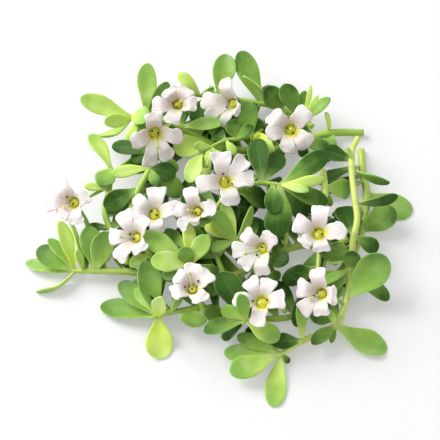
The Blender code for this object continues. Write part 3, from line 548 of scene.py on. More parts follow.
# Flowers: throat (column, row, height in mm), petal tips, tilt to the right and up in degrees, stem and
# where the stalk leaves it, anthers, stigma, and each lobe's half width in mm and roundness from 0 to 1
FLOWERS = [
    Flower(
        "flower_01", (177, 104, 19), ((152, 106), (167, 89), (188, 88), (197, 104), (171, 124)), (-6, 6),
        "back_runner", (182, 127), ((177, 107), (173, 103)), (181, 101),
        ((2.3, 0.5), (2.2, 0.3), (2.2, 0.3), (1.8, 0.3), (2.05, 0.2)),
    ),
    Flower(
        "flower_02", (155, 134, 22), ((153, 112), (183, 137), (170, 160), (149, 167), (131, 143)), (5, -14),
        "inner_left_branch", (158, 152), ((152, 131), (158, 133)), (157, 147),
        ((2.05, 0.2), (1.95, 0.8), (1.85, 0.9), (1.75, 0.4), (2.1, 0.7)),
    ),
    Flower(
        "flower_03", (230, 104, 17), ((225, 78), (201, 101), (206, 118), (222, 127), (240, 112)), (-30, -6),
        "top_branch", (240, 100), ((227, 107), (229, 101)), (219, 115),
        ((1.8, 0.9), (2.4, 0.7), (1.75, 0.8), (1.7, 0.5), (1.8, 0.5)),
    ),
    Flower(
        "flower_04", (290, 130, 18), ((270, 114), (308, 109), (310, 146), (287, 153), (266, 134)), (-6, -4),
        "back_runner", (285, 146), ((287, 128), (293, 133)), (291, 129),
        ((2.5, 0.3), (2.25, 0.5), (2.5, 0.7), (2.1, 0.7), (2.1, 0.6)),
    ),
    Flower(
        "flower_05", (226, 181, 22), ((220, 152), (245, 159), (254, 178), (232, 206), (196, 185)), (12, 18),
        "centre_shoot", (235, 190), ((223, 174), (228, 182), (232, 184)), (224, 179),
        ((2.5, 0.1), (1.95, 0.4), (2.05, 0.3), (2.4, 0.8), (2.1, 0.5)),
    ),
    Flower(
        "flower_06", (154, 213, 18), ((157, 187), (181, 207), (158, 234), (131, 213), (134, 197)), (-6, 18),
        "inner_left_branch", (137, 195), ((151, 211), (157, 215)), (155, 211),
        ((2.3, 0.1), (1.9, 0.3), (1.8, 0.3), (2.2, 0.7), (1.75, 0.9)),
    ),
    Flower(
        "flower_07", (195, 211, 21.5), ((190, 187), (217, 207), (192, 225), (180, 229), (176, 210)),
        (-20, 4),
        "centre_shoot", (218, 212), ((196, 213), (202, 210)), (188, 210),
        ((1.9, 0.6), (1.85, 1.0), (1.6, 0.9), (1.7, 0.8), (1.9, 0.3)),
    ),
    Flower(
        "flower_08", (134, 237, 19), ((123, 211), (145, 216), (142, 252), (117, 260), (109, 237)), (-26, 6),
        "inner_left_branch", (140, 238), ((130, 234), (134, 239)), (120, 236),
        ((2.2, 0.4), (2.1, 0.5), (2.1, 0.1), (1.9, 0.3), (1.9, 0.2)),
    ),
    Flower(
        "flower_09", (72, 203, 17), ((57, 182), (88, 194), (77, 224), (60, 217), (44, 203)), (-22, -4),
        "upper_left_branch", (110, 187), ((67, 197), (73, 204)), (64, 207),
        ((2.2, 0.5), (1.9, 0.5), (2.0, 0.3), (2.0, 0.3), (2.1, 0.4)),
    ),
    Flower(
        "flower_10", (260, 249, 20), ((243, 232), (274, 234), (262, 276), (242, 267), (232, 250)), (-26, -6),
        "inner_shoot", (236, 242), ((257, 255), (262, 247)), (245, 253),
        ((2.1, 0.1), (2.1, 0.6), (2.1, 0.2), (1.9, 0.3), (2.0, 0.1)),
    ),
    Flower(
        "flower_11", (318, 233, 20), ((321, 206), (347, 230), (322, 252), (301, 244), (294, 222)), (-4, 10),
        "short_cut_stem", (322, 222), ((322, 234), (316, 230)), (318, 235),
        ((2.1, 0.1), (2.15, 1.0), (2.05, 0.05), (1.9, 0.4), (2.25, 0.3)),
    ),
    Flower(
        "flower_12", (192, 287, 18), ((193, 263), (211, 273), (203, 302), (171, 293), (176, 273)), (-4, 22),
        "middle_shoot", (200, 276), ((198, 281), (185, 287), (192, 289)), (189, 273),
        ((2.0, 0.6), (2.1, 0.3), (2.1, 0.4), (2.0, 0.3), (2.2, 0.5)),
    ),
    Flower(
        "flower_13", (261, 301, 16), ((249, 279), (270, 279), (285, 299), (257, 327), (233, 298)), (-8, 16),
        "front_shoot", (262, 310), ((253, 301), (267, 300)), (260, 303),
        ((2.05, 0.15), (2.1, 0.3), (2.3, 0.05), (1.85, 0.6), (1.9, 0.8)),
    ),
    Flower(
        "flower_14", (320, 294, 16), ((317, 268), (337, 296), (321, 316), (301, 312), (297, 287)), (-16, -4),
        "right_runner", (345, 305), ((321, 290), (314, 296)), (310, 298),
        ((1.95, 0.3), (2.3, 0.3), (2.1, 0.1), (2.1, 0.1), (2.3, 0.05)),
    ),
]

# How pale the throat is, where it isn't all yellow
PALE_THROATS = {
    "flower_01": 0.9, "flower_03": 0.8, "flower_06": 0.3, "flower_07": 1.0, "flower_08": 0.8,
    "flower_09": 0.6, "flower_10": 0.5, "flower_12": 1.0, "flower_14": 0.6,
}


def picture_ray(column, row):
    """The eye, and the direction from it through a place in the picture."""
    forward = Vector((0, math.cos(VIEW_ELEVATION), -math.sin(VIEW_ELEVATION)))
    upward = Vector((0, math.sin(VIEW_ELEVATION), math.cos(VIEW_ELEVATION)))
    middle = PICTURE_SIDE / 2
    across = RIGHT * (column - middle) * PIXEL
    return AIM - forward * VIEW_DISTANCE, forward * VIEW_DISTANCE + across + upward * (middle - row) * PIXEL


def place(column, row, height):
    """The point at a height in mm that shows at a place in the picture."""
    eye, ray = picture_ray(column, row)
    return eye + ray * ((height * SUNK * MM - eye.z) / ray.z)


def place_on(column, row, point, normal):
    """The point of a plane that shows at a place in the picture."""
    eye, ray = picture_ray(column, row)
    return eye + ray * ((point - eye).dot(normal) / ray.dot(normal))


def picture_place(point):
    """The column and row at which a point shows."""
    eye, ray = picture_ray(PICTURE_SIDE / 2, PICTURE_SIDE / 2)
    forward = ray.normalized()
    upward = RIGHT.cross(forward)
    out = point - eye
    scale = VIEW_DISTANCE / out.dot(forward) / PIXEL
    return PICTURE_SIDE / 2 + out.x * scale, PICTURE_SIDE / 2 - out.dot(upward) * scale


def through(points, step):
    """Points about a step apart on a smooth curve through the given ones."""
    padded = [points[0] * 2 - points[1], *points, points[-1] * 2 - points[-2]]
    curve = []
    for before, start, end, after in zip(padded, padded[1:], padded[2:], padded[3:]):
        count = max(1, round((end - start).length / step))
        for index in range(count):
            t = index / count
            curve.append(
                start
                + (end - before) * t / 2
                + (before * 2 - start * 5 + end * 4 - after) * t**2 / 2
                + (start * 3 - before - end * 3 + after) * t**3 / 2
            )
    curve.append(points[-1])
    return curve


def evenly(points, step):
    """Points about a step apart along the straight runs between the given ones."""
    line = []
    for start, end in zip(points, points[1:]):
        count = max(1, round((end - start).length / step))
        line += [start.lerp(end, index / count) for index in range(count)]
    return [*line, points[-1]]


def tube(points, radii, sides):
    """A closed tube along the points."""
    bm = bmesh.new()
    heading = (points[1] - points[0]).normalized()
    turn = heading.to_track_quat("Z", "Y")
    ring = Matrix.Translation(points[0]) @ turn.to_matrix().to_4x4() @ Matrix.Scale(radii[0], 4)
    bmesh.ops.create_circle(bm, cap_ends=True, segments=sides, radius=1, matrix=ring)
    cap = bm.faces[:]
    for index in range(1, len(points)):
        ahead = points[min(index + 1, len(points) - 1)] - points[index - 1]
        turn = heading.rotation_difference(ahead.normalized()) @ turn
        heading = ahead.normalized()
        extruded = bmesh.ops.extrude_face_region(bm, geom=cap)["geom"]
        if index > 1:
            bmesh.ops.delete(bm, geom=cap, context="FACES_ONLY")
        cap = [part for part in extruded if isinstance(part, bmesh.types.BMFace)]
        following = Matrix.Translation(points[index]) @ turn.to_matrix().to_4x4()
        following = following @ Matrix.Scale(radii[index], 4)
        bmesh.ops.transform(bm, matrix=following @ ring.inverted(), verts=cap[0].verts)
        ring = following
    bmesh.ops.recalc_face_normals(bm, faces=bm.faces)
    return bm


def smooth(value, low=0.0, high=1.0):
    """From 0 below low to 1 above high, with an even start and end."""
    share = min(1.0, max(0.0, (value - low) / (high - low)))
    return share * share * (3 - 2 * share)


def blade_width(along):
    """Half the width of a spoon-shaped blade, from 0 at its base to 1 at its tip, as a share."""
    if along < WIDEST_AT:
        return BASE_WIDTH + (1 - BASE_WIDTH) * smooth(along, 0, WIDEST_AT)
    return math.sqrt(max(0.0, 1 - ((along - WIDEST_AT) / (1 - WIDEST_AT)) ** 2))


def blade_stance(base, leaf, lift=0.0, spare=0.0):
    """A blade's length, and its directions along, across and out of its face."""
    height = leaf.height + lift
    tip = place(leaf.x, leaf.y, height)
    length = (tip - base).length + spare
    along = (tip - base).normalized()
    toward = -picture_ray(leaf.x, leaf.y)[1].normalized()
    turned = FACING_EYE * min(1.0, max(0.0, height / LYING_BELOW))
    face = toward * turned + UPRIGHT * (1 - turned)
    face = (face - along * face.dot(along)).normalized()
    face = Matrix.Rotation(math.radians(leaf.roll), 3, along) @ face
    return length, along, face.cross(along), face


def plain_blade(base, leaf, lift=0.0, rings=PLAIN_RINGS, spare=0.0, start=0.0):
    """A leaf with few faces. spare swells it all round, and start leaves out its foot."""
    length, along, across, face = blade_stance(base, leaf, lift, spare)
    half_width = leaf.width * MM / 2 + spare
    half_thickness = LEAF_THICKNESS / 2 + spare
    bm = bmesh.new()
    bmesh.ops.create_uvsphere(bm, u_segments=PLAIN_SIDES, v_segments=rings, radius=1)
    for vert in bm.verts:
        share = start + (1 - start) * (vert.co.z + 1) / 2
        section = round_section(vert.co)
        width = blade_width(share)
        arch = leaf.bend * length * 4 * share * (1 - share)
        vert.co = (
            base
            + along * length * share
            + across * section.x * width * half_width
            + face * (arch + section.y * half_thickness * (THIN_END + (1 - THIN_END) * width))
        )
        press_to_table(vert, section)
    return bm


def round_section(point):
    """Where a point of a ball lies round its upright axis, as a vector of length 1, or 0 at a pole."""
    section = Vector((point.x, point.y, 0))
    if section.length > POLE_RADIUS:
        return section.normalized()
    return Vector()


def press_to_table(vert, section):
    """Lifts a point of a blade that would lie in the table, and one of its upper face a little over it."""
    vert.co.z = max(vert.co.z, (1 + section.y) / 2 * PRESSED_THICKNESS)


def flower_axis(flower):
    """The way a flower faces: at the picture's eye, turned to the right and up by its tilt."""
    column, row, _ = flower.throat
    toward = -picture_ray(column, row)[1].normalized()
    upward = toward.cross(RIGHT).normalized()
    right, up = (math.radians(angle) for angle in flower.tilt)
    return Matrix.Rotation(right, 3, upward) @ (Matrix.Rotation(-up, 3, RIGHT) @ toward)


def flower_stance(flower):
    """A flower's throat, the way it faces, and a way square to that."""
    axis = flower_axis(flower)
    return place(*flower.throat), axis, axis.orthogonal().normalized()


class Petal(NamedTuple):
    """A petal by its angle round the axis, the way to its tip, its number, and the gaps at both sides."""

    angle: float
    reach: Vector
    number: int
    gaps: tuple


def petals_in_turn(flower):
    """The petals of a flower in order round its axis, from the places of their tips."""
    throat, axis, start = flower_stance(flower)
    petals = []
    for number, (column, row) in enumerate(flower.tips):
        reach = place_on(column, row, throat, axis) - throat
        petals.append((math.atan2(axis.dot(start.cross(reach)), start.dot(reach)), reach, number))
    petals.sort(key=lambda petal: petal[0])
    angles = [angle for angle, _, _ in petals]
    neighbours = zip(angles, angles[1:] + angles[:1])
    after = [(following - angle) % (2 * math.pi) for angle, following in neighbours]
    return [
        Petal(angle, reach, number, (before, behind))
        for (angle, reach, number), before, behind in zip(petals, after[-1:] + after[:-1], after)
    ]


def plain_corolla(flower):
    """Five petals grown together into a funnel, with few faces."""
    throat, axis, start = flower_stance(flower)
    petals = petals_in_turn(flower)
    bm = bmesh.new()
    feet = []
    for petal in petals:
        for hand, gap in zip((-1, 1), petal.gaps):
            angle = petal.angle + hand * min(PETAL_FOOT, gap * PETAL_ROOM)
            foot = Matrix.Rotation(angle, 3, axis) @ start * THROAT_RADIUS
            feet.append(bm.verts.new(throat - axis * MOUTH_DEPTH + foot))
    bottom = bm.verts.new(throat - axis * TUBE_LENGTH)
    for foot, following in zip(feet, feet[1:] + feet[:1]):
        bm.faces.new((bottom, foot, following))
    for petal, left, right in zip(petals, feet[0::2], feet[1::2]):
        side = axis.cross(petal.reach.normalized())
        edge = bm.edges.get((left, right))
        for share, half_width, forward in PETAL_STATIONS:
            extruded = bmesh.ops.extrude_edge_only(bm, edges=[edge])["geom"]
            edge = next(part for part in extruded if isinstance(part, bmesh.types.BMEdge))
            middle = throat + petal.reach * share + axis * forward
            ends = sorted(edge.verts, key=lambda vert: (vert.co - throat).dot(side))
            for hand, gap, vert in zip((-1, 1), petal.gaps, ends):
                room = petal.reach.length * share * math.tan(gap * PETAL_ROOM)
                vert.co = middle + side * hand * min(half_width, room)
    front = bmesh.ops.extrude_face_region(bm, geom=bm.faces[:], use_keep_orig=True)["geom"]
    front = [part for part in front if isinstance(part, bmesh.types.BMVert)]
    back = [vert for vert in bm.verts if vert not in front]
    bmesh.ops.translate(bm, vec=axis * PETAL_THICKNESS / 2, verts=front)
    bmesh.ops.translate(bm, vec=-axis * PETAL_THICKNESS / 2, verts=back)
    bmesh.ops.recalc_face_normals(bm, faces=bm.faces)
    bmesh.ops.triangulate(bm, faces=bm.faces)
    return bm


def cup_bottom(flower):
    """The foot of a flower's tube, over which its cup begins."""
    return place(*flower.throat) - flower_axis(flower) * (TUBE_LENGTH + CUP_GAP)


def plain_cup(flower):
    """The green cup under a flower and the top of the stalk that carries it."""
    bottom = cup_bottom(flower)
    axis = flower_axis(flower)
    route = [bottom, bottom - axis * CUP_LENGTH / 2, bottom - axis * CUP_LENGTH]
    return tube(route, [CUP_RADIUS * CUP_TOP, CUP_RADIUS, STALK_RADIUS], PLAIN_STALK_SIDES)


def nearest(line, column, row):
    """The point of a stem's line that shows closest to a place in the picture."""

    def apart(point):
        x, y = picture_place(point)
        return (x - column) ** 2 + (y - row) ** 2

    return min(line[FREE_FOOT:-FREE_TIP], key=apart)


def stalk_route(flower, line):
    """The line of the thin stalk from a stem to the cup of a flower."""
    axis = flower_axis(flower)
    foot = nearest(line, *flower.stalk_from)
    top = cup_bottom(flower) - axis * CUP_LENGTH * STALK_TOP
    knee = top - axis * STALK_NECK
    return through([foot, foot.lerp(knee, 0.5) + axis * STALK_ARCH, knee, top], STALK_STEP)


class Growing(NamedTuple):
    """A leaf with the stem that it grows on, its foot on the stem, and its size for ranking."""

    leaf: Leaf
    stem: str
    foot: Vector
    size: float


class Clump:
    """What stands so far, for finding a free place for the next leaf."""

    def __init__(self):
        self.trees = []
        self.points = []
        self.faces = []

    def add(self, owner, bm):
        """Takes in a piece, under the name of the solid that it belongs to."""
        self.trees.append((owner, BVHTree.FromBMesh(bm)))
        bm.verts.index_update()
        first = len(self.points)
        self.points += [vert.co.copy() for vert in bm.verts]
        self.faces += [[first + vert.index for vert in face.verts] for face in bm.faces]

    def meets(self, bm, but=None, only=None):
        """Whether a piece cuts into anything, apart from one owner's or in only one owner's."""
        tree = BVHTree.FromBMesh(bm)
        return any(
            tree.overlap(standing)
            for owner, standing in self.trees
            if owner != but and only in (None, owner)
        )

    def all(self):
        """Everything that stands, as one tree."""
        return BVHTree.FromPolygons(self.points, self.faces)


def settle(clump, growing, own, lifts):
    """The base, leaf and lift with which a leaf lies free of what stands, or None."""
    leaf, stem, foot, _ = growing
    radius = STEMS[stem][0] * MM
    for lift in lifts:
        tip = place(leaf.x, leaf.y, leaf.height + lift)
        if tip.z < LOWEST_TIP:
            continue
        heading = (tip - foot).normalized()
        if own:
            for distance in BASE_DISTANCES:
                base = foot + heading * (radius * distance + GAP)
                if not clump.meets(plain_blade(base, leaf, lift, spare=GAP)):
                    return base, leaf, lift
            continue
        base = foot - heading * radius * FOOT_DEPTH
        if clump.meets(plain_blade(base, leaf, lift, spare=GAP), but=stem):
            continue
        if not clump.meets(plain_blade(base, leaf, lift, spare=GAP / 2, start=FREE_OF_STEM), only=stem):
            return base, leaf, lift
    return None


def undergrowth(stem, line, first, step, size):
    """Dark leaves, partly by painted shade, in whorls at even steps along a stem, in directions that turn
    from whorl to whorl.
    """
    chance = random.Random(stem)
    for whorl, index in enumerate(range(first, len(line) - UNDERGROWTH_END, step)):
        way = (line[index + 1] - line[index - 1]).normalized()
        sideways = way.cross(UPRIGHT).normalized()
        for turn in range(UNDERGROWTH_TURNS):
            angle = 2 * math.pi * (turn / UNDERGROWTH_TURNS + whorl * WHORL_TURN)
            outward = Matrix.Rotation(angle, 3, way) @ sideways
            reach = outward * UNDERGROWTH_OUTWARD + way * UNDERGROWTH_FORWARD
            tip = line[index] + reach * size * chance.uniform(*UNDERGROWTH_LENGTH)
            width, roll, tone = (
                chance.uniform(*limits) for limits in (UNDERGROWTH_WIDTH, UNDERGROWTH_ROLL, UNDERGROWTH_TONE)
            )
            column, row = picture_place(tip)
            if tip.z >= LOWEST_TIP and inside(column, row):
                leaf = Leaf(column, row, tip.z / MM / SUNK, width * size, roll, tone)
                yield Growing(leaf, stem, line[index], 0.0)


def inside(column, row):
    """Whether a place in the picture is within the heap's outline, and not where the table shows."""
    if any((column - x) ** 2 + (row - y) ** 2 < radius**2 for x, y, radius in OPEN_PLACES):
        return False
    crossings = 0
    for (x, y), (following_x, following_y) in zip(HEAP_OUTLINE, HEAP_OUTLINE[1:] + HEAP_OUTLINE[:1]):
        if (y > row) != (following_y > row):
            crossings += column < x + (following_x - x) * (row - y) / (following_y - y)
    return crossings % 2 == 1


def fills_gap(growing):
    """Whether a leaf would lie in a gap through which the table shows."""
    column, row = picture_place(growing.foot)
    leaf = growing.leaf
    for share in KEPT_CLEAR:
        x = column + (leaf.x - column) * share
        y = row + (leaf.y - row) * share
        if any((x - gap_x) ** 2 + (y - gap_y) ** 2 < radius**2 for gap_x, gap_y, radius in GAPS):
            return True
    return False


def hides(standing, growing):
    """Whether a leaf would stand in front of what shows in the picture."""
    bm = plain_blade(growing.foot, growing.leaf, start=FREE_OF_STEM)
    eye, _ = picture_ray(0, 0)
    for vert in bm.verts:
        ray = (vert.co - eye).normalized()
        if standing.ray_cast(eye, ray, (vert.co - eye).length - GAP)[0]:
            continue
        if standing.ray_cast(vert.co + ray * GAP, ray, VIEW_DISTANCE)[0]:
            return True
        if not inside(*picture_place(vert.co)):
            return True
    return False


def marks(bm):
    """The values at each point that the finishes read."""
    layers = bm.verts.layers.float
    return [layers.get(name) or layers.new(name) for name in ("along", "across", "side", "tone")]


def lance_outline(share):
    """A sepal's half width: broad near its foot, with a pointed tip."""
    if share < SEPAL_WIDEST:
        return SEPAL_FOOT + (1 - SEPAL_FOOT) * smooth(share, 0, SEPAL_WIDEST)
    return 1 - smooth(share, SEPAL_WIDEST, SEPAL_TIP)


class BladeShape(NamedTuple):
    """The form of one blade. cupping lifts its rims, wave ripples them, and twist turns its tip."""

    half_width: float
    thickness: float
    outline: object
    arch: float
    cupping: float
    wave: float
    twist: float
    slip: float
    phase: float
    tone: float


def fleshy_blade(root, stance, shape, rings, sides):
    """A leaf or sepal, cupped along its middle, with a groove over its midrib and wavy rims."""
    length, along, across, face = stance
    bm = bmesh.new()
    along_mark, across_mark, side_mark, tone_mark = marks(bm)
    bmesh.ops.create_uvsphere(bm, u_segments=sides, v_segments=rings, radius=1)
    for vert in bm.verts:
        share = (vert.co.z + 1) / 2
        section = round_section(vert.co)
        bulge = math.sin(math.pi * share)
        width = shape.outline(share + shape.slip * bulge * section.x)
        spread = width * shape.half_width
        rise = shape.cupping * spread * (section.x**2 - CUPPING_REST)
        ripple = shape.wave * spread * section.x * math.sin(RIM_WAVES * share + shape.phase)
        groove = MIDRIB_DEPTH * math.exp(-((section.x / MIDRIB_WIDTH) ** 2)) * bulge
        depth = math.copysign(abs(section.y) ** SECTION_POWER, section.y) * shape.thickness / 2
        out = shape.arch * length * 4 * share * (1 - share) + rise + ripple
        out += depth * (THIN_END + (1 - THIN_END) * width)
        if section.y > 0:
            out -= groove
        turn = Matrix.Rotation(shape.twist * smooth(share), 3, along)
        vert.co = root + along * length * share + turn @ (across * section.x * spread + face * out)
        press_to_table(vert, section)
        vert[along_mark] = share
        vert[across_mark] = section.x
        vert[side_mark] = section.y
        vert[tone_mark] = shape.tone
    return bm


def fine_leaf(growing, settled, rings=LEAF_RINGS, sides=LEAF_SIDES):
    """A leaf from inside its stem to the tip that its solid has."""
    _, leaf, lift = settled
    tip = place(leaf.x, leaf.y, leaf.height + lift)
    heading = (tip - growing.foot).normalized()
    root = growing.foot - heading * STEMS[growing.stem][0] * MM * FOOT_DEPTH
    chance = random.Random(round(leaf.x * PICTURE_SIDE + leaf.y))
    shape = BladeShape(
        half_width=leaf.width * MM / 2,
        thickness=LEAF_THICKNESS,
        outline=blade_width,
        arch=leaf.bend,
        cupping=chance.uniform(*LEAF_CUPPING),
        wave=chance.uniform(*LEAF_WAVE),
        twist=math.radians(chance.uniform(*LEAF_TWIST)),
        slip=chance.uniform(*LEAF_SLIP),
        phase=chance.uniform(0, 2 * math.pi),
        tone=leaf.tone + chance.uniform(-TONE_SPREAD, TONE_SPREAD),
    )
    return fleshy_blade(root, blade_stance(root, leaf, lift), shape, rings, sides)


def fine_stem(name, feet):
    """A round stem that swells at its joints and narrows to its tip."""
    radius, points = STEMS[name]
    coarse = through([place(*point) for point in points], PLAIN_STEM_STEP)
    route = through(coarse, STEM_STEP)
    lengths = [0.0]
    for start, end in zip(route, route[1:]):
        lengths.append(lengths[-1] + (end - start).length)
    before_tip, at_tip = STEM_TAPER
    closeness = []
    radii = []
    for point, length in zip(route, lengths):
        near = min(((point - foot).length for foot in feet), default=1.0)
        closeness.append(1 - smooth(near, 0, 2 * JOINT_REACH))
        to_tip = (lengths[-1] - length) / PLAIN_STEM_STEP
        taper = at_tip + (before_tip - at_tip) * min(1.0, to_tip) + (1 - before_tip) * smooth(to_tip, 1, 2)
        radii.append(radius * MM * taper * (1 + JOINT_SWELLING * closeness[-1]))
    bm = tube(route, radii, STEM_SIDES)
    along_mark, _, side_mark, tone_mark = marks(bm)
    bm.verts.index_update()
    for vert in bm.verts:
        ring = vert.index // STEM_SIDES
        vert[along_mark] = lengths[ring] / lengths[-1]
        vert[tone_mark] = closeness[ring]
        vert[side_mark] = PAINTED_LIT_STEMS.get(name, PAINTED_SHADED_STEM)
        vert.co.z = max(vert.co.z, 0.0)
    return bm


class PetalShape(NamedTuple):
    """How one petal differs from the next."""

    half_width: float
    bend: float
    curl: float
    corner: float
    power: float
    slant: float
    twist: float
    ruffle: float
    phase: float
    tone: float


def tube_point(angle, share):
    """Of a point in a flower's tube: how far it is out from the axis, to the side, and forward."""
    depth = -share / TUBE_SHARE
    radius = MOUTH_RADIUS + (TUBE_FOOT_RADIUS - MOUTH_RADIUS) * depth**TUBE_CURVE
    forward = -MOUTH_DEPTH - (TUBE_LENGTH - MOUTH_DEPTH) * depth
    return radius * math.cos(angle), radius * math.sin(angle), forward


def lobe_point(reach, gap, share, across, shape):
    """The same of a point past the tube, in the funnel or on a lobe."""
    angle = gap / 2 * OVERLAP * across
    out = MOUTH_RADIUS + (reach - MOUTH_RADIUS) * share
    lobe = shape.half_width * (LOBE_FOOT + LOBE_GAIN * smooth(share, *BROADENS))
    funnel = out * math.tan(min(gap / 2, WIDEST_HALF_GAP)) * OVERLAP
    half_width = (lobe**-PARTING_POWER + funnel**-PARTING_POWER) ** (-1 / PARTING_POWER)
    near = 1 - smooth(share, *PARTS_FROM_FUNNEL)
    aside = half_width * across * (1 - near) + out * math.sin(angle) * near
    sag = out * (1 - math.cos(angle)) * near
    edge = CORNER_REACH * abs(across)
    corners = shape.corner * smooth(share, *ROUNDS_ITS_TIP) * (1 - math.sqrt(1 - edge**shape.power))
    slant = shape.slant * across * share**4
    notch_depth, notch_turns = NOTCHES
    notches = notch_depth * math.cos(notch_turns * across + shape.phase) * share**6
    return out - sag - corners + slant + notches, aside, lobe_forward(share, across, shape)


def lobe_forward(share, across, shape):
    """How far forward a point of the funnel or a lobe is, with the lobe's bend, curl, twist and ripples."""
    opening = 1 - min(1.0, share / FUNNEL_SHARE)
    forward = FUNNEL_RISE * (1 - opening**2) - MOUTH_DEPTH + shape.bend * smooth(share, *BENDS)
    forward += shape.curl * across**2 * smooth(share, *CURLS)
    forward += shape.twist * across * smooth(share, *TWISTS)
    turns_along, turns_across = RIPPLE_TURNS
    ripple = math.sin(turns_along * share + turns_across * across + shape.phase) * smooth(share, *RIPPLES)
    forward += shape.ruffle * across * ripple
    flute_height, flute_turns = FLUTES
    return forward + flute_height * math.sin(flute_turns * across + shape.phase) * share**2


def draw_petal(flower, petal, outward, chance):
    """The form of one petal of a flower."""
    half_width, roundness = flower.lobes[petal.number]
    spread = (-PETAL_TONE_SPREAD, PETAL_TONE_SPREAD)
    return PetalShape(
        half_width=half_width * MM,
        bend=chance.uniform(*PETAL_BEND) * MM,
        curl=chance.uniform(*PETAL_CURL) * MM,
        corner=SQUARE_CORNER + roundness * (half_width * MM - SQUARE_CORNER),
        power=SQUARE_POWER + roundness * (ROUND_POWER - SQUARE_POWER),
        slant=chance.uniform(*PETAL_SLANT) * MM,
        twist=chance.uniform(*PETAL_TWIST) * MM,
        ruffle=chance.uniform(*PETAL_RUFFLE) * MM,
        phase=chance.uniform(0, 2 * math.pi),
        # Painted shade: more on petals pointing to the upper left, whose inner faces turn away from the
        # light
        tone=PETAL_TONE + PAINTED_SHADE_SHARE * outward.dot(PAINTED_SHADE_SIDE) + chance.uniform(*spread),
    )


def fine_corolla(flower, chance):
    """Five petals grown together in a tube and a funnel, spreading into lobes with blunt tips."""
    throat, axis, _ = flower_stance(flower)
    bm = bmesh.new()
    along_mark, across_mark, side_mark, tone_mark = marks(bm)
    for petal in petals_in_turn(flower):
        outward = petal.reach.normalized()
        side = axis.cross(outward)
        shape = draw_petal(flower, petal, outward, chance)
        grid = bmesh.ops.create_grid(bm, x_segments=PETAL_SIDES, y_segments=PETAL_RINGS, size=1)
        for vert in grid["verts"]:
            across = -vert.co.x
            share = -TUBE_SHARE + (1 + TUBE_SHARE) * (vert.co.y + 1) / 2
            gap = petal.gaps[1] if across > 0 else petal.gaps[0]
            if share < 0:
                out, aside, forward = tube_point(gap / 2 * OVERLAP * across, share)
            else:
                out, aside, forward = lobe_point(petal.reach.length, gap, share, across, shape)
            vert.co = throat + outward * out + side * aside + axis * forward
            vert[along_mark] = share
            vert[across_mark] = across
            vert[side_mark] = PALE_THROATS.get(flower.name, 0.0)
            vert[tone_mark] = shape.tone
    return bm


def ball(middle, radii, pole=UPRIGHT, sides=10, rings=8):
    """A ball stretched along its pole: its radius across and along it."""
    bm = bmesh.new()
    marks(bm)
    wide, long = radii
    stretch = Matrix.Diagonal((wide, wide, long, 1))
    turn = pole.to_track_quat("Z", "Y").to_matrix().to_4x4()
    matrix = Matrix.Translation(middle) @ turn @ stretch
    bmesh.ops.create_uvsphere(bm, u_segments=sides, v_segments=rings, radius=1, matrix=matrix)
    return bm


def thinning_tube(route, radius, start, loss, sides):
    """A tube whose radius goes evenly from a share of the given one to less."""
    count = len(route) - 1
    radii = [radius * (start - loss * index / count) for index in range(count + 1)]
    return tube(route, radii, sides)


def thread(points, radius):
    """A thin round thread through the points, a little thinner at its end."""
    return thinning_tube(through(points, THREAD_STEP), radius, 1, THREAD_TAPER, THREAD_SIDES)


def anther_lobes(top, axis, chance):
    """The two dark lobes on the top of a filament."""
    lie = Matrix.Rotation(chance.uniform(0, math.pi), 3, axis) @ axis.orthogonal().normalized()
    lie = (lie + axis * chance.uniform(*ANTHER_TIP)).normalized()
    beside = lie.cross(axis).normalized()
    lobes = []
    for hand in (-1, 1):
        pole = (lie + beside * hand * ANTHER_SPREAD).normalized()
        lobes.append(ball(top + beside * hand * ANTHER_RADII[0] * ANTHER_APART, ANTHER_RADII, pole))
    return lobes


def stamens(flower, chance):
    """The ovary, the threads, the anthers on them and the tipped style, each with its finish's number."""
    throat, axis, _ = flower_stance(flower)
    wide = OVARY_RADII[0] * (1 - OVARY_SHRINKING * PALE_THROATS.get(flower.name, 0.0))
    ovary = ball(throat - axis * OVARY_DEPTH, (wide, OVARY_RADII[1]), axis, *OVARY_ROUNDS)
    parts = [(ovary, OVARY)]
    foot_depth, foot_out = FILAMENT_FOOT
    knee_out, knee_depth = FILAMENT_KNEE
    for column, row in flower.anthers:
        top = place_on(column, row, throat + axis * ANTHER_FORWARD, axis)
        aside = top - throat
        aside -= axis * aside.dot(axis)
        foot = throat - axis * foot_depth + aside.normalized() * foot_out
        knee = throat + aside * knee_out - axis * knee_depth
        parts.append((thread([foot, knee, top], FILAMENT_RADIUS), THREAD))
        parts += [(lobe, ANTHER) for lobe in anther_lobes(top, axis, chance)]
    top = place_on(*flower.stigma, throat + axis * STIGMA_FORWARD, axis)
    knee_out, knee_depth = STYLE_KNEE
    knee = throat.lerp(top, knee_out) - axis * knee_depth
    parts.append((thread([throat - axis * STYLE_FOOT_DEPTH, knee, top], STYLE_RADIUS), THREAD))
    parts.append((ball(top, STIGMA_RADII, axis, *STIGMA_ROUNDS), STIGMA))
    return parts


def sepals(flower):
    """The five green sepals round the foot of a flower's tube, and the knob of its stalk under them."""
    _, axis, start = flower_stance(flower)
    bottom = cup_bottom(flower)
    low = bottom - axis * CUP_LENGTH
    parts = [ball(low, (STALK_RADIUS * STALK_KNOB, STALK_RADIUS * STALK_KNOB))]
    for index in range(SEPALS):
        half_width, tip_out = BROAD_SEPAL if index % 2 else NARROW_SEPAL
        outward = Matrix.Rotation(2 * math.pi * index / SEPALS, 3, axis) @ start
        root = low + outward * SEPAL_ROOT
        tip = bottom + axis * SEPAL_REACH + outward * tip_out
        along = (tip - root).normalized()
        face = (outward - along * outward.dot(along)).normalized()
        stance = ((tip - root).length, along, -face.cross(along), -face)
        shape = BladeShape(
            half_width=half_width,
            thickness=SEPAL_THICKNESS,
            outline=lance_outline,
            arch=-0.07,
            cupping=0.2,
            wave=0.05,
            twist=0.0,
            slip=0.0,
            phase=index,
            tone=1.1,
        )
        parts.append(fleshy_blade(root, stance, shape, SEPAL_ROUNDS, SEPAL_ROUNDS))
    return parts


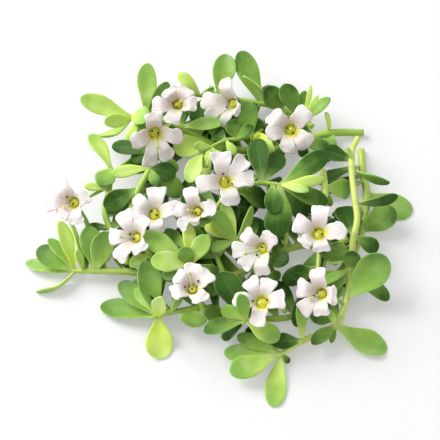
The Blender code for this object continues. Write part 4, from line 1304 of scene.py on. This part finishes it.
def fine_stalk(flower, line):
    """A flower's stalk, from inside its stem to under the sepals."""
    route = through(stalk_route(flower, line), FINE_STALK_STEP)
    bm = thinning_tube(route, STALK_RADIUS, STALK_FOOT, STALK_THINNING, FINE_STALK_SIDES)
    marks(bm)
    return bm


def gather(parts):
    """One mesh of several shapes, each with the number of its finish."""
    whole = bmesh.new()
    marks(whole)
    for bm, number in parts:
        for face in bm.faces:
            face.material_index = number
        passing = bpy.data.meshes.new("passing")
        bm.to_mesh(passing)
        bm.free()
        whole.from_mesh(passing)
        bpy.data.meshes.remove(passing)
    return whole


def add_object(name, bm, finishes):
    """An object of a shape, with its finishes."""
    mesh = bpy.data.meshes.new(name)
    bm.to_mesh(mesh)
    bm.free()
    for finish in finishes:
        mesh.materials.append(finish)
    added = bpy.data.objects.new(name, mesh)
    bpy.context.collection.objects.link(added)
    return added


def add_piece(name, bm, finishes, slot, *nodes):
    """A finished piece that rides on the plant and stands for its solids."""
    piece = add_object(name, bm, finishes)
    piece.data.shade_smooth()
    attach(piece, "root")
    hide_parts(*nodes)
    return piece


class Value:
    """A number in a finish that changes over the surface, for writing sums with it."""

    def __init__(self, finish, socket):
        self.finish = finish
        self.socket = socket

    def sum(self, operation, *terms):
        """A Math node on the terms."""
        return self.finish.node("ShaderNodeMath", {"operation": operation}, dict(enumerate(terms)))

    def __add__(self, other):
        return self.sum("ADD", self, other)

    def __sub__(self, other):
        return self.sum("SUBTRACT", self, other)

    def __rsub__(self, other):
        return self.sum("SUBTRACT", other, self)

    def __mul__(self, other):
        return self.sum("MULTIPLY", self, other)

    def __abs__(self):
        return self.sum("ABSOLUTE", self)

    __radd__ = __add__
    __rmul__ = __mul__


class Finish:
    """One finish of the plant, made of shader nodes."""

    def __init__(self, name):
        self.material = bpy.data.materials.new(name)
        self.material.use_nodes = True
        self.surface = self.material.node_tree.nodes["Principled BSDF"]

    def feed(self, socket, value):
        """Gives a socket a link, a number or a colour."""
        if isinstance(value, Value):
            self.material.node_tree.links.new(value.socket, socket)
        elif socket.type == "RGBA":
            socket.default_value = (*value, 1.0)
        else:
            socket.default_value = value

    def wear(self, values):
        """Gives the surface's own sockets, by name, what they are to have."""
        for name, value in values.items():
            self.feed(self.surface.inputs[name], value)

    def node(self, kind, settings=None, inputs=None, output=0):
        """Adds a node with its settings, then the values or links of its sockets."""
        added = self.material.node_tree.nodes.new(kind)
        for name, setting in (settings or {}).items():
            setattr(added, name, setting)
        for key, value in (inputs or {}).items():
            self.feed(added.inputs[key], value)
        return Value(self, added.outputs[output])

    def mark(self, name):
        """A value that the shape carries at its points."""
        return self.node("ShaderNodeAttribute", {"attribute_name": name}, output="Fac")

    def rise(self, value, low, high):
        """From 0 where the value is low to 1 where it is high."""
        limits = {"Value": value, "From Min": low, "From Max": high}
        return self.node("ShaderNodeMapRange", {"interpolation_type": "SMOOTHSTEP"}, limits)

    def fall(self, value, low, high):
        """From 1 where the value is low to 0 where it is high."""
        return 1 - self.rise(value, low, high)

    def grain(self, size, detail=2.0):
        """Soft noise from 0 to 1 with spots of a size."""
        where = self.node("ShaderNodeTexCoord", output="Object")
        return self.node("ShaderNodeTexNoise", inputs={"Vector": where, "Scale": 1 / size, "Detail": detail})

    def blend(self, share, first, second):
        """A colour between two, by a share."""
        return self.node("ShaderNodeMix", {"data_type": "RGBA"}, {0: share, 6: first, 7: second}, output=2)

    def coats(self, colour, shares):
        """A colour under further ones, each laid over it by its share."""
        for share, over in shares:
            colour = self.blend(share, colour, over)
        return colour

    def relief(self, height, depth, strength):
        """Small relief of a depth in metres."""
        bump = {"Height": height, "Distance": depth, "Strength": strength}
        return self.node("ShaderNodeBump", inputs=bump)


DEEP_GREEN = (0.036, 0.108, 0.010)
DARK_GREEN = (0.105, 0.225, 0.038)
MIDDLE_GREEN = (0.275, 0.475, 0.076)
YOUNG_GREEN = (0.610, 0.780, 0.185)
LIME_GREEN = (0.620, 0.750, 0.075)
PALE_GREEN = (0.600, 0.730, 0.300)
# Cooler green of grown leaves' tips, partly their own hue and partly a painted bluish sheen
COOL_SHEEN_GREEN = (0.260, 0.490, 0.150)
# Painted sheen: the pale green of gloss catching the light on the leaves
PAINTED_SHEEN_GREEN = (0.600, 0.720, 0.420)
STEM_GREEN = (0.270, 0.500, 0.050)
# Painted light: the paler colour of stems that lie in the light
STEM_PAINTED_LIGHT = (0.640, 0.710, 0.180)
STEM_RED = (0.380, 0.370, 0.070)
PETAL_WHITE = (0.805, 0.740, 0.722)
# Grey of the petals' veins, and of the painted shade on them
PETAL_VEIN_AND_SHADE = (0.500, 0.430, 0.405)
BACK_WHITE = (0.860, 0.830, 0.800)
TUBE_GREEN = (0.660, 0.720, 0.420)
PETAL_CREAM = (0.660, 0.610, 0.410)
THROAT_YELLOW = (0.670, 0.640, 0.060)
# Olive deep in a throat: partly its own greener colour, partly painted shade of the depth
THROAT_OLIVE_AND_SHADE = (0.620, 0.630, 0.035)
THREAD_PALE = (0.780, 0.760, 0.520)
ANTHER_BROWN = (0.030, 0.014, 0.014)
ANTHER_DUST = (0.180, 0.110, 0.080)
OVARY_GREEN = (0.570, 0.590, 0.030)
STIGMA_YELLOW = (0.640, 0.680, 0.090)


def leaf_finish():
    """Fleshy leaf: paler or greener by its age, cooler to its tip, with a pale rim, midrib and foot, painted
    sheen on top and painted shade underneath.
    """
    finish = Finish("leaf")
    rise = finish.rise
    fall = finish.fall
    tone = finish.mark("tone")
    along = finish.mark("along")
    across = abs(finish.mark("across"))
    side = finish.mark("side")
    patches = finish.grain(3.5 * MM)
    cells = finish.grain(0.35 * MM, 3.0)

    aged = tone + (patches - 0.5) * 0.8 + fall(along, 0.05, 0.75) * 0.5 - rise(along, 0.6, 1.0) * 0.35
    full_grown = rise(tone, 0.3, 1.2) - rise(tone, 1.5, 2.0) * 0.9
    # Cooler green toward the tips of grown leaves: partly their own hue, partly a painted bluish sheen
    cool_tint_and_sheen = rise(along + finish.grain(4.5 * MM, 1.0), 0.85, 1.45) * full_grown
    under = rise(0 - side, 0.1, 0.5)
    # Painted sheen: pale patches on the upper face of lighter leaves, standing in for their gloss
    painted_sheen = rise(finish.grain(5 * MM, 1.0), 0.5, 0.75) * rise(tone, 0.3, 1.6) * (1 - under)
    rim = rise(across, 0.86, 0.99) * 0.25
    midrib = fall(across, 0.02, 0.16) * 0.14 * (1 - along)
    base = fall(along, 0.0, 0.35) * 0.5
    shares = [
        (rise(aged, 0.1, 0.8), DARK_GREEN),
        (rise(aged, 0.1, 1.35), MIDDLE_GREEN),
        (rise(aged, 1.1, 2.2), YOUNG_GREEN),
        (rise(aged, 2.1, 2.9), LIME_GREEN),
        (cool_tint_and_sheen * 0.25, COOL_SHEEN_GREEN),
        (painted_sheen * 0.3, PAINTED_SHEEN_GREEN),
        (rim, PALE_GREEN),
        (midrib, PALE_GREEN),
        (base, PALE_GREEN),
        # Painted shade: the underside made darker
        (under * 0.2, DARK_GREEN),
        ((cells - 0.5) * 0.30, MIDDLE_GREEN),
    ]
    finish.wear({
        "Base Color": finish.coats(DEEP_GREEN, shares),
        "Roughness": 0.38 + patches * 0.16 + under * 0.12,
        "Normal": finish.relief(cells * 0.6 + patches, 0.12 * MM, 0.5),
        "Specular IOR Level": 0.15,
        "Subsurface Weight": 0.35,
        "Subsurface Radius": (0.5, 1.0, 0.15),
        "Subsurface Scale": 1.0 * MM,
    })
    return finish.material


def stem_finish():
    """Smooth, juicy stem with faint lengthwise streaks and darker joints, painted paler where it lies in the
    light.
    """
    finish = Finish("stem")
    patches = finish.grain(6 * MM)
    streaks = finish.grain(0.5 * MM)
    joint = finish.mark("tone")
    painted_light = finish.mark("side")
    shares = [
        # Painted light: stems in the light made paler
        (painted_light * (0.6 + patches * 0.6), STEM_PAINTED_LIGHT),
        (finish.rise(joint, 0.35, 1.0) * 0.4, MIDDLE_GREEN),
        (finish.rise(streaks, 0.55, 0.8) * 0.15, STEM_RED),
    ]
    finish.wear({
        "Base Color": finish.coats(STEM_GREEN, shares),
        "Roughness": 0.32 + streaks * 0.2,
        "Normal": finish.relief(streaks, 0.1 * MM, 0.5),
        "Subsurface Weight": 0.15,
        "Subsurface Radius": (0.6, 1.0, 0.3),
        "Subsurface Scale": 1.0 * MM,
    })
    return finish.material


def petal_finish():
    """Inner face of a thin white petal: faint lengthwise veins, with painted shade toward a yellow or pale
    throat.
    """
    finish = Finish("petal")
    fall = finish.fall
    along = finish.mark("along")
    across = finish.mark("across")
    tone = finish.mark("tone")
    pale = finish.mark("side")
    soft = finish.grain(1.6 * MM)
    vein = finish.node("ShaderNodeMath", {"operation": "SINE"}, {0: across * 19 + soft * 12})

    # Painted shade: greyer toward the throat, more on petals turned from the light and in pale throats
    painted_shade = fall(along, 0.0, 0.65) * (0.12 + tone * 0.5 + pale * 0.1)
    veins = finish.rise(vein, 0.4, 1.0) * fall(along, 0.6, 1.05)
    edge = along + (soft - 0.5) * 0.35 + (tone - 0.5) * 0.15
    throat = edge + (tone - 0.5) * 0.05 + pale * 0.25
    shares = [
        (painted_shade + (soft - 0.5) * 0.2, PETAL_VEIN_AND_SHADE),
        (veins * 0.2, PETAL_VEIN_AND_SHADE),
        (fall(edge, 0.0, 0.42) * 0.6, PETAL_CREAM),
        (fall(throat, -0.06, 0.11), THROAT_YELLOW),
        # Olive deep in the tube: partly its own greener colour, partly painted shade of the depth
        (fall(throat, -0.42, -0.10), THROAT_OLIVE_AND_SHADE),
    ]
    finish.wear({
        "Base Color": finish.coats(PETAL_WHITE, shares),
        "Roughness": 0.5 + soft * 0.2,
        "Normal": finish.relief(vein * 0.2 + soft * 2, 0.12 * MM, 0.5),
        "Subsurface Weight": 0.3,
        "Subsurface Scale": 0.6 * MM,
    })
    return finish.material


def petal_back_finish():
    """Outer face of a petal and its tube: white, with a faint middle vein, greener at the foot."""
    finish = Finish("petal back")
    along = finish.mark("along")
    across = abs(finish.mark("across"))
    soft = finish.grain(1.2 * MM)
    shares = [
        (finish.rise(soft, 0.4, 0.8) * 0.3, PETAL_WHITE),
        (finish.fall(across, 0.03, 0.2) * 0.2, PETAL_VEIN_AND_SHADE),
        (finish.fall(along, -0.45, 0.1) * 0.8, TUBE_GREEN),
    ]
    finish.wear({
        "Base Color": finish.coats(BACK_WHITE, shares),
        "Roughness": 0.55 + soft * 0.2,
        "Normal": finish.relief(soft, 0.15 * MM, 0.5),
        "Subsurface Weight": 0.3,
        "Subsurface Scale": 0.6 * MM,
    })
    return finish.material


def grainy_finish(name, first, second, size, roughness):
    """A small part in two close colours, with fine relief."""
    finish = Finish(name)
    grain = finish.grain(size, 3.0)
    finish.wear({
        "Base Color": finish.blend(finish.rise(grain, 0.35, 0.75), first, second),
        "Roughness": roughness,
        "Normal": finish.relief(grain, size * 0.5, 0.6),
    })
    return finish.material


def table_finish():
    """Pale paper that glows a little."""
    finish = Finish("table")
    finish.wear({
        "Base Color": finish.blend(finish.grain(2 * MM), *TABLE_GREYS),
        "Roughness": 0.8,
        "Emission Color": WHITE,
        "Emission Strength": TABLE_GLOW,
    })
    return finish.material


def lay_stems(clump):
    """The line of points along each stem that leaves and flowers grow from."""
    lines = {}
    for name, (radius, points) in STEMS.items():
        route = through([place(*point) for point in points], PLAIN_STEM_STEP)
        shares = [1.0] * (len(route) - len(STEM_TAPER)) + STEM_TAPER
        bm = tube(route, [radius * MM * share for share in shares], PLAIN_STEM_SIDES)
        for vert in bm.verts:
            vert.co.z = max(vert.co.z, 0.0)
        lines[name] = evenly(route, LINE_STEP)
        clump.add(name, bm)
    return lines


def open_flowers(clump, lines):
    """Takes the flowers, cups and stalks into the clump."""
    for flower in FLOWERS:
        clump.add(flower.name, plain_corolla(flower))
    for flower in FLOWERS:
        route = stalk_route(flower, lines[flower.stem])
        clump.add(flower.stem, plain_cup(flower))
        clump.add(flower.stem, tube(route, [STALK_RADIUS] * len(route), PLAIN_STALK_SIDES))


def growing_leaves(table, lines):
    """The leaves of a table, each with its stem and its foot on it."""
    for stem, joints in table.items():
        for (column, row), leaves in joints.items():
            foot = nearest(lines[stem], column, row)
            for numbers in leaves:
                leaf = Leaf(*numbers)
                size = leaf.width * (place(leaf.x, leaf.y, leaf.height) - foot).length
                yield Growing(leaf, stem, foot, size)


def settle_leaves(clump, lines):
    """The leaves that show where they lie, the highest first: each with its own solid's name, or none."""
    leaves = list(growing_leaves(LEAVES, lines))
    largest = sorted(leaves, key=lambda growing: -growing.size)[:OWN_LEAVES]
    settled = []
    count = 0
    for growing in sorted(leaves, key=lambda growing: -growing.leaf.height):
        own = growing in largest
        free_place = settle(clump, growing, own, LIFTS)
        if free_place is None:
            continue
        rings = PLAIN_OWN_RINGS if own else PLAIN_RINGS
        count += own
        name = f"leaf_{count:02d}" if own else ""
        clump.add(name or growing.stem, plain_blade(*free_place, rings=rings))
        settled.append((name, growing, free_place))
    return settled


def settle_further_leaves(clump, lines):
    """The leaves of the further table, where there is room."""
    settled = []
    for growing in growing_leaves(FURTHER_LEAVES, lines):
        free_place = settle(clump, growing, False, LIFTS)
        if free_place:
            clump.add(growing.stem, plain_blade(*free_place))
            settled.append(("", growing, free_place))
    return settled


def settle_undergrowth(clump, lines, rounds, keep_gaps):
    """Shaded leaves, where there is room and they cover nothing that shows."""
    showing = clump.all()
    settled = []
    for stem in STEMS:
        for growing in undergrowth(stem, lines[stem], *rounds):
            if hides(showing, growing) or (keep_gaps and fills_gap(growing)):
                continue
            free_place = settle(clump, growing, False, UNDERGROWTH_LIFTS)
            if free_place:
                clump.add(stem, plain_blade(*free_place, rings=UNDERGROWTH_RINGS))
                settled.append((growing, free_place))
    return settled


def add_stems_and_leaves(leaves, shaded, leaf_green, stem_green):
    """A piece for each large leaf, and for each stem and the leaves that are joined to it."""
    feet = {stem: [] for stem in STEMS}
    joined = {stem: [] for stem in STEMS}
    for name, growing, free_place in leaves:
        feet[growing.stem].append(growing.foot)
        shape = fine_leaf(growing, free_place)
        if name:
            add_piece(name + "_blade", shape, [leaf_green], "leaf", name)
        else:
            joined[growing.stem].append((shape, 0))
    for growing, free_place in shaded:
        joined[growing.stem].append((fine_leaf(growing, free_place, SHADED_RINGS, SHADED_SIDES), 0))
    for stem in STEMS:
        add_piece(stem + "_stem", fine_stem(stem, feet[stem]), [stem_green], "stem", stem)
        if joined[stem]:
            add_piece(stem + "_leaves", gather(joined[stem]), [leaf_green], "leaf", stem)


def add_flowers(lines, leaf_green, stem_green):
    """The petals, stamens and sepals of each flower, the last with its stalk."""
    petal = [petal_finish(), petal_back_finish()]
    centre = [
        grainy_finish("thread", THREAD_PALE, PALE_GREEN, 0.4 * MM, 0.5),
        grainy_finish("anther", ANTHER_BROWN, ANTHER_DUST, 0.15 * MM, 0.7),
        grainy_finish("ovary", OVARY_GREEN, THROAT_YELLOW, 0.7 * MM, 0.45),
        grainy_finish("stigma", STIGMA_YELLOW, PALE_GREEN, 0.2 * MM, 0.5),
    ]
    for flower in FLOWERS:
        chance = random.Random(flower.name)
        corolla = fine_corolla(flower, chance)
        petals = add_piece(flower.name + "_petals", corolla, petal, "petal", flower.name)
        sheet = petals.modifiers.new("sheet", "SOLIDIFY")
        sheet.thickness = PETAL_SHEET
        sheet.offset = -1.0
        sheet.material_offset = 1
        add_piece(flower.name + "_stamens", gather(stamens(flower, chance)), centre, "petal", flower.name)
        holder = [(fine_stalk(flower, lines[flower.stem]), 0)] + [(part, 1) for part in sepals(flower)]
        add_piece(flower.name + "_sepals", gather(holder), [stem_green, leaf_green], "stem", flower.stem)


def grow_plant():
    """Lays out the whole bunch, as in the solids, and then adds its fine pieces."""
    clump = Clump()
    lines = lay_stems(clump)
    open_flowers(clump, lines)
    leaves = settle_leaves(clump, lines)
    shaded = settle_undergrowth(clump, lines, UNDERGROWTH_IN_SOLIDS, keep_gaps=False)
    leaves += settle_further_leaves(clump, lines)
    for between in UNDERGROWTH_BETWEEN:
        shaded += settle_undergrowth(clump, lines, between, keep_gaps=True)
    leaf_green = leaf_finish()
    stem_green = stem_finish()
    add_stems_and_leaves(leaves, shaded, leaf_green, stem_green)
    add_flowers(lines, leaf_green, stem_green)


def lay_table():
    """The pale table that the bunch lies on, lit a little from below."""
    bm = bmesh.new()
    bmesh.ops.create_grid(bm, x_segments=1, y_segments=1, size=TABLE_HALF_SIDE)
    table = add_object("table", bm, [table_finish()])
    table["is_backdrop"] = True


def look_from(stand, where, toward):
    """Puts a camera or a light at a place, facing a way, and takes it into the scene."""
    turn = toward.to_track_quat("-Z", "Y")
    stand.matrix_world = Matrix.Translation(where) @ turn.to_matrix().to_4x4()
    bpy.context.collection.objects.link(stand)


def light_studio():
    """Even white light from all round, with a large soft light from the upper left, behind."""
    world = bpy.data.worlds.new("studio")
    world.use_nodes = True
    background = world.node_tree.nodes["Background"]
    background.inputs["Color"].default_value = (*WHITE, 1.0)
    background.inputs["Strength"].default_value = SKY_STRENGTH
    bpy.context.scene.world = world
    bpy.context.scene.view_settings.view_transform = "Standard"
    light = bpy.data.lights.new("key", "AREA")
    light.size = KEY_SIDE
    light.energy = KEY_POWER
    look_from(bpy.data.objects.new("key", light), KEY_PLACE, -KEY_PLACE)


def set_camera():
    """The camera at the picture's viewing angle."""
    camera = bpy.data.cameras.new("camera")
    camera.lens = camera.sensor_width * VIEW_DISTANCE / (PICTURE_SIDE * PIXEL)
    stand = bpy.data.objects.new("camera", camera)
    look_from(stand, *picture_ray(PICTURE_SIDE / 2, PICTURE_SIDE / 2))
    bpy.context.scene.camera = stand


grow_plant()
lay_table()
light_studio()
set_camera()
boxes = {"cad": cad_box, "visual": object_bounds()}
{name: [list(corner) for corner in box] for name, box in boxes.items()}
